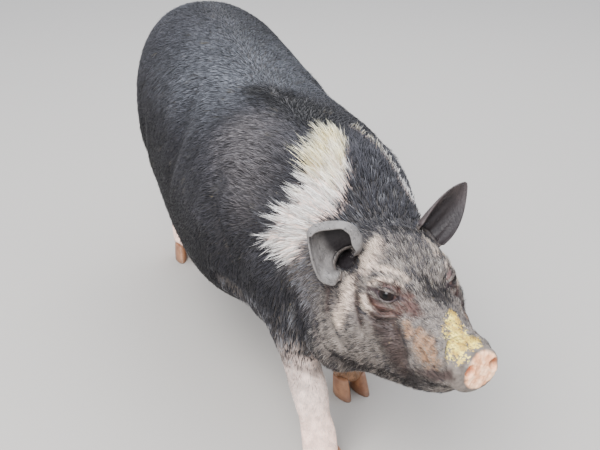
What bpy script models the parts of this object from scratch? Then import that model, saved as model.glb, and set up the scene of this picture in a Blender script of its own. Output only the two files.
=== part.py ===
"""A pot-bellied pig in a walking stance, life size, as a still museum model.

The flesh is modelled whole: lofts along the body, the head and the legs are fused with rounded
masses for jowls, shoulders and hams, and thinned to a light mesh. Thin cuts then part it into trunk,
neck, head, snout and legs. Ears, tail, eyes, claws and dewclaws are pieces of their own, trimmed to
the flesh. +X is forwards, +Y the pig's left, +Z up, in metres, with the floor at z = 0.
"""

import math

import bmesh
import bpy
import numpy as np
from mathutils import Euler, Matrix, Vector

# ---------------------------------------------------------------- driving dimensions
GAP = 0.0004  # clear space between neighbouring pieces
VOXEL = 0.006  # grid on which the lofts are fused
BLEND_ROUNDS = 7  # rounds of smoothing that blend one mass into the next
FLESH_TRIANGLES = 4120  # of the whole flesh, before it is parted

# Trunk and neck from rump to nape. The rump is carried high and the neck low.
TRUNK = (
    # x, back, belly, half width, height of the widest place, squareness (2 is an ellipse)
    (-0.508, 0.380, 0.300, 0.024, 0.345, 2.0),
    (-0.495, 0.427, 0.246, 0.070, 0.340, 2.1),
    (-0.460, 0.463, 0.192, 0.108, 0.332, 2.2),
    (-0.395, 0.474, 0.158, 0.138, 0.315, 2.2),
    (-0.300, 0.463, 0.135, 0.147, 0.290, 2.2),
    (-0.200, 0.444, 0.114, 0.152, 0.266, 2.2),
    (-0.100, 0.421, 0.104, 0.156, 0.252, 2.2),
    (0.000, 0.414, 0.111, 0.158, 0.256, 2.3),
    (0.080, 0.411, 0.134, 0.151, 0.266, 2.35),
    (0.150, 0.399, 0.158, 0.126, 0.271, 2.2),
    (0.210, 0.373, 0.180, 0.097, 0.270, 2.0),
    (0.265, 0.334, 0.203, 0.072, 0.268, 2.0),
    (0.295, 0.300, 0.230, 0.040, 0.266, 2.0),
)
NECK_BEND = 0.028  # how far the nape swings to the pig's left
NECK_BEND_FROM, NECK_BEND_TO = 0.08, 0.28

# The head's own frame starts midway between the ear roots: x to the snout, y left, z up.
HEAD_AT = Vector((0.268, 0.021, 0.322))
HEAD_ROLL, HEAD_PITCH, HEAD_YAW = math.radians(0), math.radians(0), math.radians(5.5)
HEAD = (
    # x, top, bottom, half width, height of the widest place, squareness
    (-0.058, -0.022, -0.120, 0.045, -0.075, 2.0),
    (-0.042, 0.004, -0.138, 0.074, -0.080, 2.1),
    (0.000, 0.022, -0.150, 0.088, -0.084, 2.1),
    (0.035, 0.022, -0.150, 0.086, -0.084, 2.1),
    (0.066, 0.008, -0.143, 0.074, -0.079, 2.1),
    (0.098, -0.014, -0.128, 0.056, -0.073, 2.1),
    (0.130, -0.028, -0.108, 0.042, -0.068, 2.2),
    (0.162, -0.034, -0.098, 0.034, -0.065, 2.3),
    (0.188, -0.033, -0.091, 0.031, -0.061, 2.4),
    (0.201, -0.035, -0.086, 0.029, -0.060, 2.3),
)
JAW = (
    (0.005, -0.060, -0.158, 0.062, -0.112, 2.0),
    (0.050, -0.070, -0.155, 0.052, -0.114, 2.1),
    (0.100, -0.078, -0.140, 0.038, -0.110, 2.2),
    (0.140, -0.084, -0.124, 0.029, -0.104, 2.2),
    (0.164, -0.088, -0.111, 0.021, -0.100, 2.2),
)
# Rounded masses fused with the lofts: centre, radii. Those of the head are in its own frame.
HEAD_MASSES = {
    "jowl": ((0.002, 0.056, -0.106), (0.056, 0.040, 0.052)),
    "cheek": ((0.048, 0.052, -0.070), (0.042, 0.030, 0.044)),
    "brow": ((0.070, 0.034, -0.012), (0.026, 0.018, 0.013)),
    "lip": ((0.146, 0.026, -0.076), (0.034, 0.014, 0.018)),
}
BODY_MASSES = {
    "ham": ((-0.390, 0.070, 0.305), (0.090, 0.068, 0.125)),
    "shoulder": ((0.140, 0.070, 0.256), (0.078, 0.048, 0.104)),
}

# Each leg from inside the body down to the coronet: x, y, z, fore-and-aft and sideways radius.
FORELEG_RIGHT = (
    (0.140, -0.074, 0.300, 0.066, 0.042),
    (0.182, -0.074, 0.240, 0.056, 0.038),
    (0.208, -0.069, 0.195, 0.043, 0.033),
    (0.230, -0.062, 0.150, 0.032, 0.028),
    (0.247, -0.056, 0.108, 0.026, 0.025),
    (0.255, -0.053, 0.076, 0.021, 0.022),
    (0.260, -0.048, 0.050, 0.023, 0.026),
    (0.268, -0.046, 0.016, 0.022, 0.026),
)
FORELEG_LEFT = (
    (0.120, 0.078, 0.300, 0.066, 0.042),
    (0.132, 0.084, 0.240, 0.058, 0.040),
    (0.124, 0.082, 0.195, 0.045, 0.036),
    (0.120, 0.074, 0.150, 0.033, 0.030),
    (0.116, 0.066, 0.108, 0.026, 0.025),
    (0.106, 0.060, 0.076, 0.021, 0.022),
    (0.109, 0.057, 0.050, 0.023, 0.026),
    (0.119, 0.055, 0.016, 0.022, 0.026),
)
HINDLEG_RIGHT = (
    (-0.385, -0.070, 0.320, 0.085, 0.048),
    (-0.358, -0.076, 0.250, 0.082, 0.042),
    (-0.368, -0.076, 0.200, 0.061, 0.036),
    (-0.406, -0.074, 0.155, 0.038, 0.028),
    (-0.415, -0.072, 0.115, 0.027, 0.024),
    (-0.403, -0.069, 0.078, 0.021, 0.021),
    (-0.392, -0.066, 0.050, 0.022, 0.025),
    (-0.380, -0.064, 0.016, 0.021, 0.025),
)
HINDLEG_LEFT_STRIDE = 0.095  # the left hind foot stands this much further forwards
LEG_TOP, LEG_FOOT = 0.320, 0.016

# Claws: each foot has two that bear the weight and two dewclaws behind the pastern.
CLAW_HEIGHT, CLAW_LENGTH, CLAW_WIDTH, CLAW_SPREAD = 0.0290, 0.045, 0.0240, 0.0132
CLAW_LEAN = 0.008  # the sole lies this much ahead of the coronet
DEWCLAW_AT = Vector((-0.0215, 0.0145, 0.0520))  # from the coronet's middle, at floor level
DEWCLAW_RADIUS, DEWCLAW_LENGTH = 0.0068, 0.020
CLAW_SPLAY, FOOT_TURN_OUT = 4, 5  # degrees
CLAW_RINGS, CLAW_SIDES = 2, 12
CLAW_TOP_LENGTH, CLAW_TOP_WIDTH = 0.74, 0.88  # of the sole's
CLAW_INNER_SIDE = 0.80  # the side at the cleft is this much flatter than the outer one
CLAW_POINT = 0.22  # how much narrower it is in front than at the heel
DEWCLAW_WAY = Vector((-0.42, 0.16, -0.89))  # down and back, and a little outwards
DEWCLAW_SECTIONS = ((-0.30, 0.80), (0.30, 1.0), (0.78, 0.66), (1.0, 0.22))  # along, thickness

# Eyes, ears and tail. The eye and the ears are in the head's frame.
EYE_AT = Vector((0.0830, 0.0375, -0.0195))
EYE_RADIUS = 0.0112
EAR_WALL = 0.0036
EAR_HALF_WIDTH = 0.036
EARS = {
    # in the head's frame: root, the way to the tip, the way the cup opens, length, roundness of tip
    "right": ((0.006, -0.055, -0.008), (0.26, -0.62, 0.74), (0.88, -0.42, 0.06), 0.090, 3.4),
    "left": ((0.000, 0.064, 0.002), (-0.04, 0.84, 0.57), (0.92, 0.10, 0.28), 0.094, 1.7),
}
EAR_ROLL_ROOT, EAR_ROLL_TIP = 112, 34  # half the angle that the cup wraps, in degrees
EAR_BACK_SWEEP = 0.010
EAR_SUNK = 0.18  # share of its length that starts inside the head
EAR_RIM = 0.0015  # half the width left at the very tip
EAR_ROWS, EAR_COLUMNS = 11, 8
TAIL = (
    # x, y, z, radius
    (-0.470, 0.000, 0.405, 0.016),
    (-0.508, 0.000, 0.398, 0.013),
    (-0.530, 0.004, 0.365, 0.0095),
    (-0.534, 0.010, 0.310, 0.0075),
    (-0.526, 0.014, 0.255, 0.0062),
    (-0.518, 0.012, 0.215, 0.0048),
    (-0.514, 0.008, 0.196, 0.0030),
)

# Where the flesh is parted. Places in x of the snout and nape cuts are in the head's frame.
CUT_GROWTH = 0.0007  # moves a cutter's corners, so that its faces move about GAP
SNOUT_CUT = 0.170
NAPE_CUT, NAPE_CUT_LEAN = -0.030, math.radians(-14)
NECK_CUT, NECK_CUT_LEAN = Vector((0.150, 0.0, 0.270)), math.radians(-20)
LEG_CUT_INNER, LEG_CUT_OUTER = 0.028, 0.220
LEG_CUT_SLOPE = 0.62
LEG_CUTS = {
    # from x, to x, height of the inner end of the cut
    "foreleg_right": (0.120, 0.400, 0.154),
    "foreleg_left": (0.045, 0.260, 0.137),
    "hindleg_right": (-0.520, -0.295, 0.137),
    "hindleg_left": (-0.500, -0.235, 0.124),
}

# Colours, linear, of the plain pieces.
BLACK_SKIN = (0.030, 0.030, 0.033, 1)
GREY_SKIN = (0.110, 0.100, 0.098, 1)
PINK_SKIN = (0.620, 0.340, 0.280, 1)
HORN = (0.340, 0.200, 0.130, 1)
DARK_EYE = (0.012, 0.009, 0.008, 1)


# ---------------------------------------------------------------- helpers
def clear_scene():
    for old in list(bpy.data.objects):
        bpy.data.objects.remove(old)


def link(name, mesh):
    made = bpy.data.objects.new(name, mesh)
    bpy.context.scene.collection.objects.link(made)
    return made


def eased(knots, values, at):
    """The values at the places in at, on a smooth curve through the knots."""
    knots, values = np.asarray(knots, float), np.asarray(values, float)
    span = np.diff(knots)
    rise = np.diff(values, axis=0) / span[:, None]
    inner = rise[:-1] * span[1:, None] + rise[1:] * span[:-1, None]
    slope = np.vstack([rise[:1], inner / (span[1:] + span[:-1])[:, None], rise[-1:]])
    place = np.clip(np.searchsorted(knots, at, side="right") - 1, 0, len(span) - 1)
    width = span[place][:, None]
    t = ((np.asarray(at) - knots[place]) / span[place])[:, None]
    start, end = values[place], values[place + 1]
    return (
        (1 + 2 * t) * (1 - t) ** 2 * start
        + t * (1 - t) ** 2 * width * slope[place]
        + t * t * (3 - 2 * t) * end
        - t * t * (1 - t) * width * slope[place + 1]
    )


def mesh_from(name, build):
    """An object whose mesh is what build(bm) makes, with its faces pointing outwards."""
    bm = bmesh.new()
    build(bm)
    bmesh.ops.recalc_face_normals(bm, faces=bm.faces)
    mesh = bpy.data.meshes.new(name)
    bm.to_mesh(mesh)
    bm.free()
    return link(name, mesh)


def over_rings(rings):
    """A function that lays faces over rings of points and closes both ends with a fan."""

    def build(bm):
        loops = [[bm.verts.new(p) for p in ring] for ring in rings]
        count = len(loops[0])
        for one, other in zip(loops, loops[1:]):
            for i in range(count):
                j = (i + 1) % count
                bm.faces.new((one[i], one[j], other[j], other[i]))
        for loop in (loops[0], loops[-1]):
            middle = bm.verts.new(sum((v.co for v in loop), Vector()) / count)
            for i in range(count):
                bm.faces.new((loop[i], loop[(i + 1) % count], middle))

    return build


def around(count):
    return [2 * math.pi * k / count for k in range(count)]


def rounded(angle, square):
    """The point at this angle on a unit outline: a circle at square 2, fuller above it."""
    c, s = math.cos(angle), math.sin(angle)
    return (
        math.copysign(abs(c) ** (2 / square), c),
        math.copysign(abs(s) ** (2 / square), s),
    )


def body_loft(name, table, rings, sides, bend=None, place=Matrix.Identity(4)):
    """A closed form with upright cross-sections, from rows like those of TRUNK and HEAD."""
    rows = np.array(table)
    stations = np.linspace(rows[0, 0], rows[-1, 0], rings)
    made = []
    for x, row in zip(stations, eased(rows[:, 0], rows[:, 1:], stations)):
        top, bottom, half, widest, square = row
        shift = bend(x) if bend else 0
        ring = []
        for angle in around(sides):
            across, up = rounded(angle, square)
            height = (top - widest) if up > 0 else (widest - bottom)
            ring.append(place @ Vector((x, shift + half * across, widest + up * height)))
        made.append(ring)
    return mesh_from(name, over_rings(made))


def limb_loft(name, rows, rings, sides):
    """A closed limb from rows of x, y, z, fore-and-aft radius and sideways radius."""
    table = np.array(rows)
    steps = np.linalg.norm(np.diff(table[:, :3], axis=0), axis=1)
    along = np.concatenate([[0], np.cumsum(steps)])
    points = eased(along, table, np.linspace(0, along[-1], rings))
    made = []
    for i, (x, y, z, fore, side) in enumerate(points):
        down = Vector(points[min(i + 1, rings - 1), :3] - points[max(i - 1, 0), :3]).normalized()
        front = Vector((0, 1, 0)).cross(down).normalized()
        across = down.cross(front).normalized()
        made.append([
            Vector((x, y, z)) + front * (fore * math.cos(a)) + across * (side * math.sin(a))
            for a in around(sides)
        ])
    return mesh_from(name, over_rings(made))


def mass(name, centre, radii, place=Matrix.Identity(4)):
    """A rounded mass: a ball stretched to these radii."""
    stretch = Matrix.Diagonal((*radii, 1))

    def build(bm):
        turn = place @ Matrix.Translation(centre) @ stretch
        bmesh.ops.create_icosphere(bm, subdivisions=4, radius=1, matrix=turn)

    return mesh_from(name, build)


def join(name, parts):
    """One object that holds the faces of all these parts."""
    bm = bmesh.new()
    for part in parts:
        bm.from_mesh(part.data)
        bpy.data.objects.remove(part)
    mesh = bpy.data.meshes.new(name)
    bm.to_mesh(mesh)
    bm.free()
    return link(name, mesh)


def settle(obj):
    """Replaces the object's mesh by what its modifiers make of it."""
    graph = bpy.context.evaluated_depsgraph_get()
    mesh = bpy.data.meshes.new_from_object(obj.evaluated_get(graph))
    obj.modifiers.clear()
    obj.data = mesh
    return obj


def combined(obj, other, operation):
    """The object's mesh intersected with another object, or with that object taken out."""
    cut = obj.modifiers.new("cut", "BOOLEAN")
    cut.operation = operation
    cut.solver = "EXACT"
    cut.object = other
    return settle(obj)


def copy_of(obj, name):
    return link(name, obj.data.copy())


def grown(obj, distance):
    """A copy whose surface lies this far outside the object's own."""
    larger = copy_of(obj, obj.name + "_grown")
    normals = [vert.normal.copy() for vert in larger.data.vertices]
    for vert, normal in zip(larger.data.vertices, normals):
        vert.co += normal * distance
    return larger


def tidy(obj):
    """Merges slivers, makes every face a triangle and keeps the largest body."""
    bm = bmesh.new()
    bm.from_mesh(obj.data)
    bmesh.ops.remove_doubles(bm, verts=bm.verts, dist=0.00003)
    bmesh.ops.dissolve_degenerate(bm, edges=bm.edges, dist=0.00003)
    bmesh.ops.triangulate(bm, faces=bm.faces)
    seen, bodies = set(), []
    for start in bm.verts:
        if start in seen:
            continue
        body, queue = [], [start]
        seen.add(start)
        while queue:
            vert = queue.pop()
            body.append(vert)
            for edge in vert.link_edges:
                other = edge.other_vert(vert)
                if other not in seen:
                    seen.add(other)
                    queue.append(other)
        bodies.append(body)
    bodies.sort(key=len)
    bmesh.ops.delete(bm, geom=[vert for body in bodies[:-1] for vert in body], context="VERTS")
    bm.to_mesh(obj.data)
    bm.free()
    return obj


def finish(obj, name, colour, roughness, smooth_angle=50):
    """Names the piece, gives it its own plain material and shades it smooth."""
    obj.name = name
    obj.data.name = name
    material = bpy.data.materials.new(name)
    material.use_nodes = True
    shader = material.node_tree.nodes["Principled BSDF"]
    shader.inputs["Base Color"].default_value = colour
    shader.inputs["Roughness"].default_value = roughness
    obj.data.materials.clear()
    obj.data.materials.append(material)
    obj.data.shade_smooth()
    obj.data.set_sharp_from_angle(angle=math.radians(smooth_angle))
    return obj


# ---------------------------------------------------------------- the head's frame and sides
def head_frame():
    turn = Euler((HEAD_ROLL, HEAD_PITCH, HEAD_YAW), "XYZ").to_matrix().to_4x4()
    return Matrix.Translation(HEAD_AT) @ turn


def on_side(point, side):
    """The point on the pig's right (side -1) or left (side 1), from its place on the left."""
    return Vector((point[0], side * point[1], point[2]))


SIDES = {"right": -1, "left": 1}


def neck_bend(x):
    """How far the neck swings to the left at this place along the body."""
    t = min(max((x - NECK_BEND_FROM) / (NECK_BEND_TO - NECK_BEND_FROM), 0), 1)
    return NECK_BEND * t * t * (3 - 2 * t)


def hindleg_left():
    """The right hind leg's rows on the left side, striding further forwards towards the foot."""
    rows = []
    for x, y, z, fore, side in HINDLEG_RIGHT:
        reach = (LEG_TOP - z) / (LEG_TOP - LEG_FOOT)
        rows.append((x + HINDLEG_LEFT_STRIDE * reach, -y, z, fore, side))
    return tuple(rows)


LEGS = {
    "foreleg_right": FORELEG_RIGHT,
    "foreleg_left": FORELEG_LEFT,
    "hindleg_right": HINDLEG_RIGHT,
    "hindleg_left": hindleg_left(),
}


# ---------------------------------------------------------------- the flesh, whole
def make_flesh():
    head = head_frame()
    parts = [
        body_loft("torso", TRUNK, 44, 44, bend=neck_bend),
        body_loft("skull", HEAD, 40, 36, place=head),
        body_loft("jaw", JAW, 24, 28, place=head),
    ]
    parts += [limb_loft(name, rows, 28, 20) for name, rows in LEGS.items()]
    for side in SIDES.values():
        for name, (centre, radii) in HEAD_MASSES.items():
            parts.append(mass(name, on_side(centre, side), radii, head))
        for name, (centre, radii) in BODY_MASSES.items():
            parts.append(mass(name, on_side(centre, side), radii))
    flesh = join("flesh", parts)
    fuse = flesh.modifiers.new("fuse", "REMESH")
    fuse.mode = "VOXEL"
    fuse.voxel_size = VOXEL
    fuse.adaptivity = 0
    blend = flesh.modifiers.new("blend", "SMOOTH")
    blend.factor = 0.5
    blend.iterations = BLEND_ROUNDS
    settle(flesh)
    thin = flesh.modifiers.new("thin", "DECIMATE")
    thin.ratio = FLESH_TRIANGLES / (2 * len(flesh.data.polygons))
    return tidy(settle(flesh))


# ---------------------------------------------------------------- parting the flesh
def prism(name, outline, start, end, place=Matrix.Identity(4)):
    """A cutter: this outline of (y, z) points, extruded along x from start to end."""

    def build(bm):
        near = [bm.verts.new(place @ Vector((start, y, z))) for y, z in outline]
        far = [bm.verts.new(place @ Vector((end, y, z))) for y, z in outline]
        bm.faces.new(near)
        bm.faces.new(far)
        for i in range(len(outline)):
            j = (i + 1) % len(outline)
            bm.faces.new((near[i], near[j], far[j], far[i]))

    return mesh_from(name, build)


def part_off(rest, cutter, name):
    """Takes the flesh inside the cutter away from the rest, with a thin cut between them."""
    piece = tidy(combined(copy_of(rest, name), cutter, "INTERSECT"))
    wider = grown(cutter, CUT_GROWTH)
    tidy(combined(rest, wider, "DIFFERENCE"))
    bpy.data.objects.remove(cutter)
    bpy.data.objects.remove(wider)
    return piece


def leg_cutter(name, side):
    """A prism round one leg, whose sloping top runs from the armpit or groin out to the flank."""
    inner, outer = LEG_CUT_INNER, LEG_CUT_OUTER
    start, end, height = LEG_CUTS[name]
    outline = [
        (side * inner, -0.1),
        (side * inner, height),
        (side * outer, height + LEG_CUT_SLOPE * (outer - inner)),
        (side * outer, -0.1),
    ]
    return prism(name + "_cutter", outline, start, end)


def plane_cutter(name, place, lean=0.0):
    """A big block ahead of the plane x = 0 of a frame, which is turned by lean about y."""
    turn = place @ Matrix.Rotation(lean, 4, "Y")
    return prism(name, [(-0.5, -0.5), (-0.5, 0.5), (0.5, 0.5), (0.5, -0.5)], 0, 0.6, turn)


def part_flesh(flesh):
    """The flesh as trunk, neck, head, snout and legs, by name."""
    head = head_frame()
    nodes = {}
    for name in LEGS:
        side = SIDES[name.split("_")[1]]
        nodes[name] = part_off(flesh, leg_cutter(name, side), name)
    cuts = (
        ("snout", head @ Matrix.Translation((SNOUT_CUT, 0, 0)), 0.0),
        ("head", head @ Matrix.Translation((NAPE_CUT, 0, -0.06)), NAPE_CUT_LEAN),
        ("neck", Matrix.Translation(NECK_CUT), NECK_CUT_LEAN),
    )
    for name, place, lean in cuts:
        nodes[name] = part_off(flesh, plane_cutter(name + "_cutter", place, lean), name)
    flesh.name = "trunk"
    nodes["trunk"] = flesh
    return nodes


# ---------------------------------------------------------------- ears, eyes and tail
def ear(name, root, along, facing, length, roundness, head):
    """A cupped leaf: rolled round the ear canal at its root, flatter and pointed at the tip."""
    root, along, facing = Vector(root), Vector(along).normalized(), Vector(facing)
    facing = (facing - facing.dot(along) * along).normalized()
    across = along.cross(facing)

    def build(bm):
        grid = []
        for i in range(EAR_ROWS + 1):
            t = i / EAR_ROWS
            leaf = (1 - t**roundness) ** 0.8 * (0.86 + 0.5 * t * (1 - t))
            half = EAR_HALF_WIDTH * leaf + EAR_RIM
            roll = math.radians(EAR_ROLL_ROOT + (EAR_ROLL_TIP - EAR_ROLL_ROOT) * t**0.8)
            radius = half / roll
            middle = root + along * (length * (t - EAR_SUNK)) - facing * (EAR_BACK_SWEEP * t * t)
            row = []
            for j in range(EAR_COLUMNS + 1):
                v = 2 * j / EAR_COLUMNS - 1
                out = across * (radius * math.sin(roll * v))
                ahead = facing * (radius * (1 - math.cos(roll * v)))
                row.append(bm.verts.new(head @ (middle + out + ahead)))
            grid.append(row)
        for one, other in zip(grid, grid[1:]):
            for j in range(EAR_COLUMNS):
                bm.faces.new((one[j], one[j + 1], other[j + 1], other[j]))

    made = mesh_from(name, build)
    wall = made.modifiers.new("wall", "SOLIDIFY")
    wall.thickness = EAR_WALL
    wall.offset = 0
    wall.use_rim = True
    return settle(made)


def eye(name, side, head, radius):
    def build(bm):
        place = head @ Matrix.Translation(on_side(EYE_AT, side))
        bmesh.ops.create_icosphere(bm, subdivisions=2, radius=radius, matrix=place)

    return mesh_from(name, build)


def tail():
    rows = [(x, y, z, radius, radius) for x, y, z, radius in TAIL]
    return limb_loft("tail", rows, 17, 7)


# ---------------------------------------------------------------- claws
def foot_frame(rows):
    """The frame at floor level under a leg's coronet, heading the way the foot points."""
    x, y = rows[-1][:2]
    heading = math.radians(FOOT_TURN_OUT) * (1 if y > 0 else -1)
    return Matrix.Translation((x, y, 0)) @ Matrix.Rotation(heading, 4, "Z")


def claw(name, place, side):
    """One weight-bearing claw: round at the heel, pointed in front, flat on its sole."""
    turn = place @ Matrix.Translation((0, side * CLAW_SPREAD, 0))
    turn = turn @ Matrix.Rotation(side * math.radians(CLAW_SPLAY), 4, "Z")
    rings = []
    for step in range(CLAW_RINGS + 1):
        t = step / CLAW_RINGS
        length = CLAW_LENGTH * (CLAW_TOP_LENGTH + (1 - CLAW_TOP_LENGTH) * t)
        width = CLAW_WIDTH * (CLAW_TOP_WIDTH + (1 - CLAW_TOP_WIDTH) * t)
        ring = []
        for angle in around(CLAW_SIDES):
            ahead = math.cos(angle)
            inside = CLAW_INNER_SIDE if math.sin(angle) * side < 0 else 1.0
            x = CLAW_LEAN * t + 0.5 * length * ahead
            y = 0.5 * width * inside * math.sin(angle) * (1 - CLAW_POINT * ahead)
            ring.append(turn @ Vector((x, y, CLAW_HEIGHT * (1 - t))))
        rings.append(ring)
    return mesh_from(name, over_rings(rings))


def dewclaw(name, place, side):
    """A small blunt claw behind the pastern, pointing down and back."""
    start = place @ on_side(DEWCLAW_AT, side)
    direction = (place.to_3x3() @ on_side(DEWCLAW_WAY, side)).normalized()
    turn = direction.to_track_quat("Z", "Y").to_matrix().to_4x4()
    rings = []
    for step, size in DEWCLAW_SECTIONS:
        at = Matrix.Translation(start + direction * (DEWCLAW_LENGTH * step)) @ turn
        radius = DEWCLAW_RADIUS * size
        rings.append([
            at @ Vector((radius * math.cos(a), 0.85 * radius * math.sin(a), 0)) for a in around(6)
        ])
    return mesh_from(name, over_rings(rings))


# ---------------------------------------------------------------- the whole animal
def take_out(obj, piece, distance):
    """Takes a slightly larger copy of the piece out of the object."""
    larger = grown(piece, distance)
    tidy(combined(obj, larger, "DIFFERENCE"))
    bpy.data.objects.remove(larger)


def centre_on_floor(nodes):
    """Moves the animal so that the middle of its box stands over the origin."""
    points = [vert.co for obj in nodes.values() for vert in obj.data.vertices]
    low = [min(p[i] for p in points) for i in range(2)]
    high = [max(p[i] for p in points) for i in range(2)]
    shift = Vector((-(low[0] + high[0]) / 2, -(low[1] + high[1]) / 2, 0))
    for obj in nodes.values():
        obj.data.transform(Matrix.Translation(shift))


def look_of(name):
    """The plain colour and roughness of a piece."""
    if "claw" in name:
        return HORN, 0.5
    if name.startswith("eye"):
        return DARK_EYE, 0.1
    if name == "snout":
        return PINK_SKIN, 0.45
    if name in ("head", "ear_right", "ear_left"):
        return GREY_SKIN, 0.7
    return BLACK_SKIN, 0.65


def main():
    clear_scene()
    head = head_frame()
    flesh = make_flesh()
    cover = grown(flesh, GAP)
    nodes = part_flesh(flesh)

    for word, side in SIDES.items():
        ball = eye("eye_" + word, side, head, EYE_RADIUS)
        take_out(nodes["head"], ball, GAP)
        nodes[ball.name] = ball

    for word, lie in EARS.items():
        nodes["ear_" + word] = ear("ear_" + word, *lie, head)
    nodes["tail"] = tail()
    for name in ("ear_right", "ear_left", "tail"):
        tidy(combined(nodes[name], cover, "DIFFERENCE"))
    bpy.data.objects.remove(cover)

    for leg, rows in LEGS.items():
        place = foot_frame(rows)
        for word, side in (("outer", 1), ("inner", -1)):
            side = side * SIDES[leg.split("_")[1]]
            for kind, make in (("claw", claw), ("dewclaw", dewclaw)):
                made = make(f"{kind}_{leg}_{word}", place, side)
                take_out(nodes[leg], made, GAP)
                nodes[made.name] = made

    centre_on_floor(nodes)
    for name, obj in nodes.items():
        finish(obj, name, *look_of(name))


main()
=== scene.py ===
# %% [markdown]
# # A pot-bellied pig, life size, as a still museum model
#
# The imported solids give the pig's place, size and stance, out to the tips of its bristles. This
# script dresses them: one continuous skin with folds, lids and ears, a coat of mesh bristles over
# the whole body, glossy eyes and horn claws. It goes the way a museum modeller does, from the form
# to its folds, then the markings, and then the hair, planted lock by lock.

# %% The fixed frame, and the size of the solids
import math

import bmesh
import bpy
import numpy as np
from mathutils import Matrix, Vector
from mathutils.bvhtree import BVHTree
from mathutils.kdtree import KDTree


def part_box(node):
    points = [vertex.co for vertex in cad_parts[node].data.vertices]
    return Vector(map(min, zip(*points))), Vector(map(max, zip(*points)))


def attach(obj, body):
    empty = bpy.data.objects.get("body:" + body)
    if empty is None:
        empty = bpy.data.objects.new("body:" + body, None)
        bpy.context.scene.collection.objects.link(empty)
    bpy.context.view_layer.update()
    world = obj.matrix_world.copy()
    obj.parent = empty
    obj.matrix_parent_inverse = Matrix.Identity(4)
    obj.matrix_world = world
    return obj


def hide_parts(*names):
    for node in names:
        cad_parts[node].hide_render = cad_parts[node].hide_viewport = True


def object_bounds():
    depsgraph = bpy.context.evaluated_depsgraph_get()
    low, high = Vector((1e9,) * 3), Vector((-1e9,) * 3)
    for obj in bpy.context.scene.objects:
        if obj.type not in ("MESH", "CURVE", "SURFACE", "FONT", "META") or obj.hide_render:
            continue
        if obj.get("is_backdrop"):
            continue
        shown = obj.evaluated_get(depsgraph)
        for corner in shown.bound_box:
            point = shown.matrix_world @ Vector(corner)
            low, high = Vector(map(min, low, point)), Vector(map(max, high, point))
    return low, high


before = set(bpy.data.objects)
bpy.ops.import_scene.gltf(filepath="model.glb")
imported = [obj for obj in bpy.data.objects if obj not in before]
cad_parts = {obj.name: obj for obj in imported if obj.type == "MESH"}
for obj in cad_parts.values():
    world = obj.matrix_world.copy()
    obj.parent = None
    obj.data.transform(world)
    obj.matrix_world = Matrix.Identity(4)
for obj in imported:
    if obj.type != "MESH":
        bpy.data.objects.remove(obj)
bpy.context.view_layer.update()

# %% [markdown]
# ## Two frames to work in
#
# Shapes of the body are placed in the model's own frame: +X forwards, +Y to the pig's left, +Z up.
# The head is turned a little to the left, so its details are placed in a frame of its own, which
# starts midway between the ear roots. The eyes give it: they are a known way ahead of that point.

# %% The head's frame, from the eyes
EYES_AHEAD, EYES_ASIDE, EYES_BELOW = 0.0830, 0.0375, 0.0195  # of the head's origin


def middle(node):
    """The middle of the box round a solid."""
    low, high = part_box(node)
    return (low + high) / 2


eye_right, eye_left = middle("eye_right"), middle("eye_left")
HEAD_LEFT = (eye_left - eye_right).normalized()
HEAD_FORWARD = HEAD_LEFT.cross(Vector((0, 0, 1))).normalized()
HEAD_AT = (eye_right + eye_left) / 2 - HEAD_FORWARD * EYES_AHEAD + Vector((0, 0, EYES_BELOW))
HEAD_TURN = np.array([HEAD_FORWARD, HEAD_LEFT, (0, 0, 1)])


def to_head(points):
    """Points of the model in the head's frame."""
    return (np.asarray(points) - np.array(HEAD_AT)) @ HEAD_TURN.T


def from_head(points):
    """Points of the head's frame in the model's."""
    return np.asarray(points, float) @ HEAD_TURN + np.array(HEAD_AT)


def from_head_way(ways):
    """Ways, which have no place, of the head's frame in the model's."""
    return np.asarray(ways, float) @ HEAD_TURN


print("the head starts at", [round(x, 3) for x in HEAD_AT])

# %% [markdown]
# ## The camera
#
# It looks down at the pig from in front and to its right, from nearly 0.8 m above the floor. Its
# place is given from the right eye, so that it keeps to the head.

# %% Camera
CAMERA_FROM_EYE = Vector((0.736, -0.377, 0.4735))
CAMERA_LENS = 52.5
CAMERA_TURN = (math.radians(64.5), 0, math.radians(69.5))

camera = bpy.data.objects.new("camera", bpy.data.cameras.new("camera"))
camera.data.lens = CAMERA_LENS
camera.location = eye_right + CAMERA_FROM_EYE
camera.rotation_euler = CAMERA_TURN
bpy.context.scene.collection.objects.link(camera)
bpy.context.scene.camera = camera
print("camera at", [round(x, 3) for x in camera.location])

# %% [markdown]
# ## Helpers for arrays of points
#
# A skin of some hundred thousand points is shaped with whole arrays at once. These few functions
# are the modelling tools: soft steps, soft noise, and the distance from a line drawn on the body.
# From here on a region of the body is a product of soft steps, each between two places in metres:
# x, y, z in the model's frame, or the three columns of head in the head's frame.


# %% Soft steps, noise and lines
MM = 0.001
SIDES = {"right": -1, "left": 1}
LINE_STEPS = 40


def unit(ways):
    return ways / np.maximum(np.linalg.norm(ways, axis=-1, keepdims=True), 1e-12)


def rise(values, low, high):
    """0 below low, 1 above high, with a soft step between them."""
    t = np.clip((values - low) / (high - low), 0, 1)
    return t * t * (3 - 2 * t)


def fall(values, low, high):
    """1 below low, 0 above high, with a soft step between them."""
    return rise(-values, -high, -low)


def bell(values, centre, width):
    """1 at the centre, dying away softly on both sides."""
    return np.exp(-(((values - centre) / width) ** 2))


def towards(values, target, mask):
    """The values drawn towards the target as far as the mask, 0 to 1, says."""
    return values + (target - values) * mask


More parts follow.
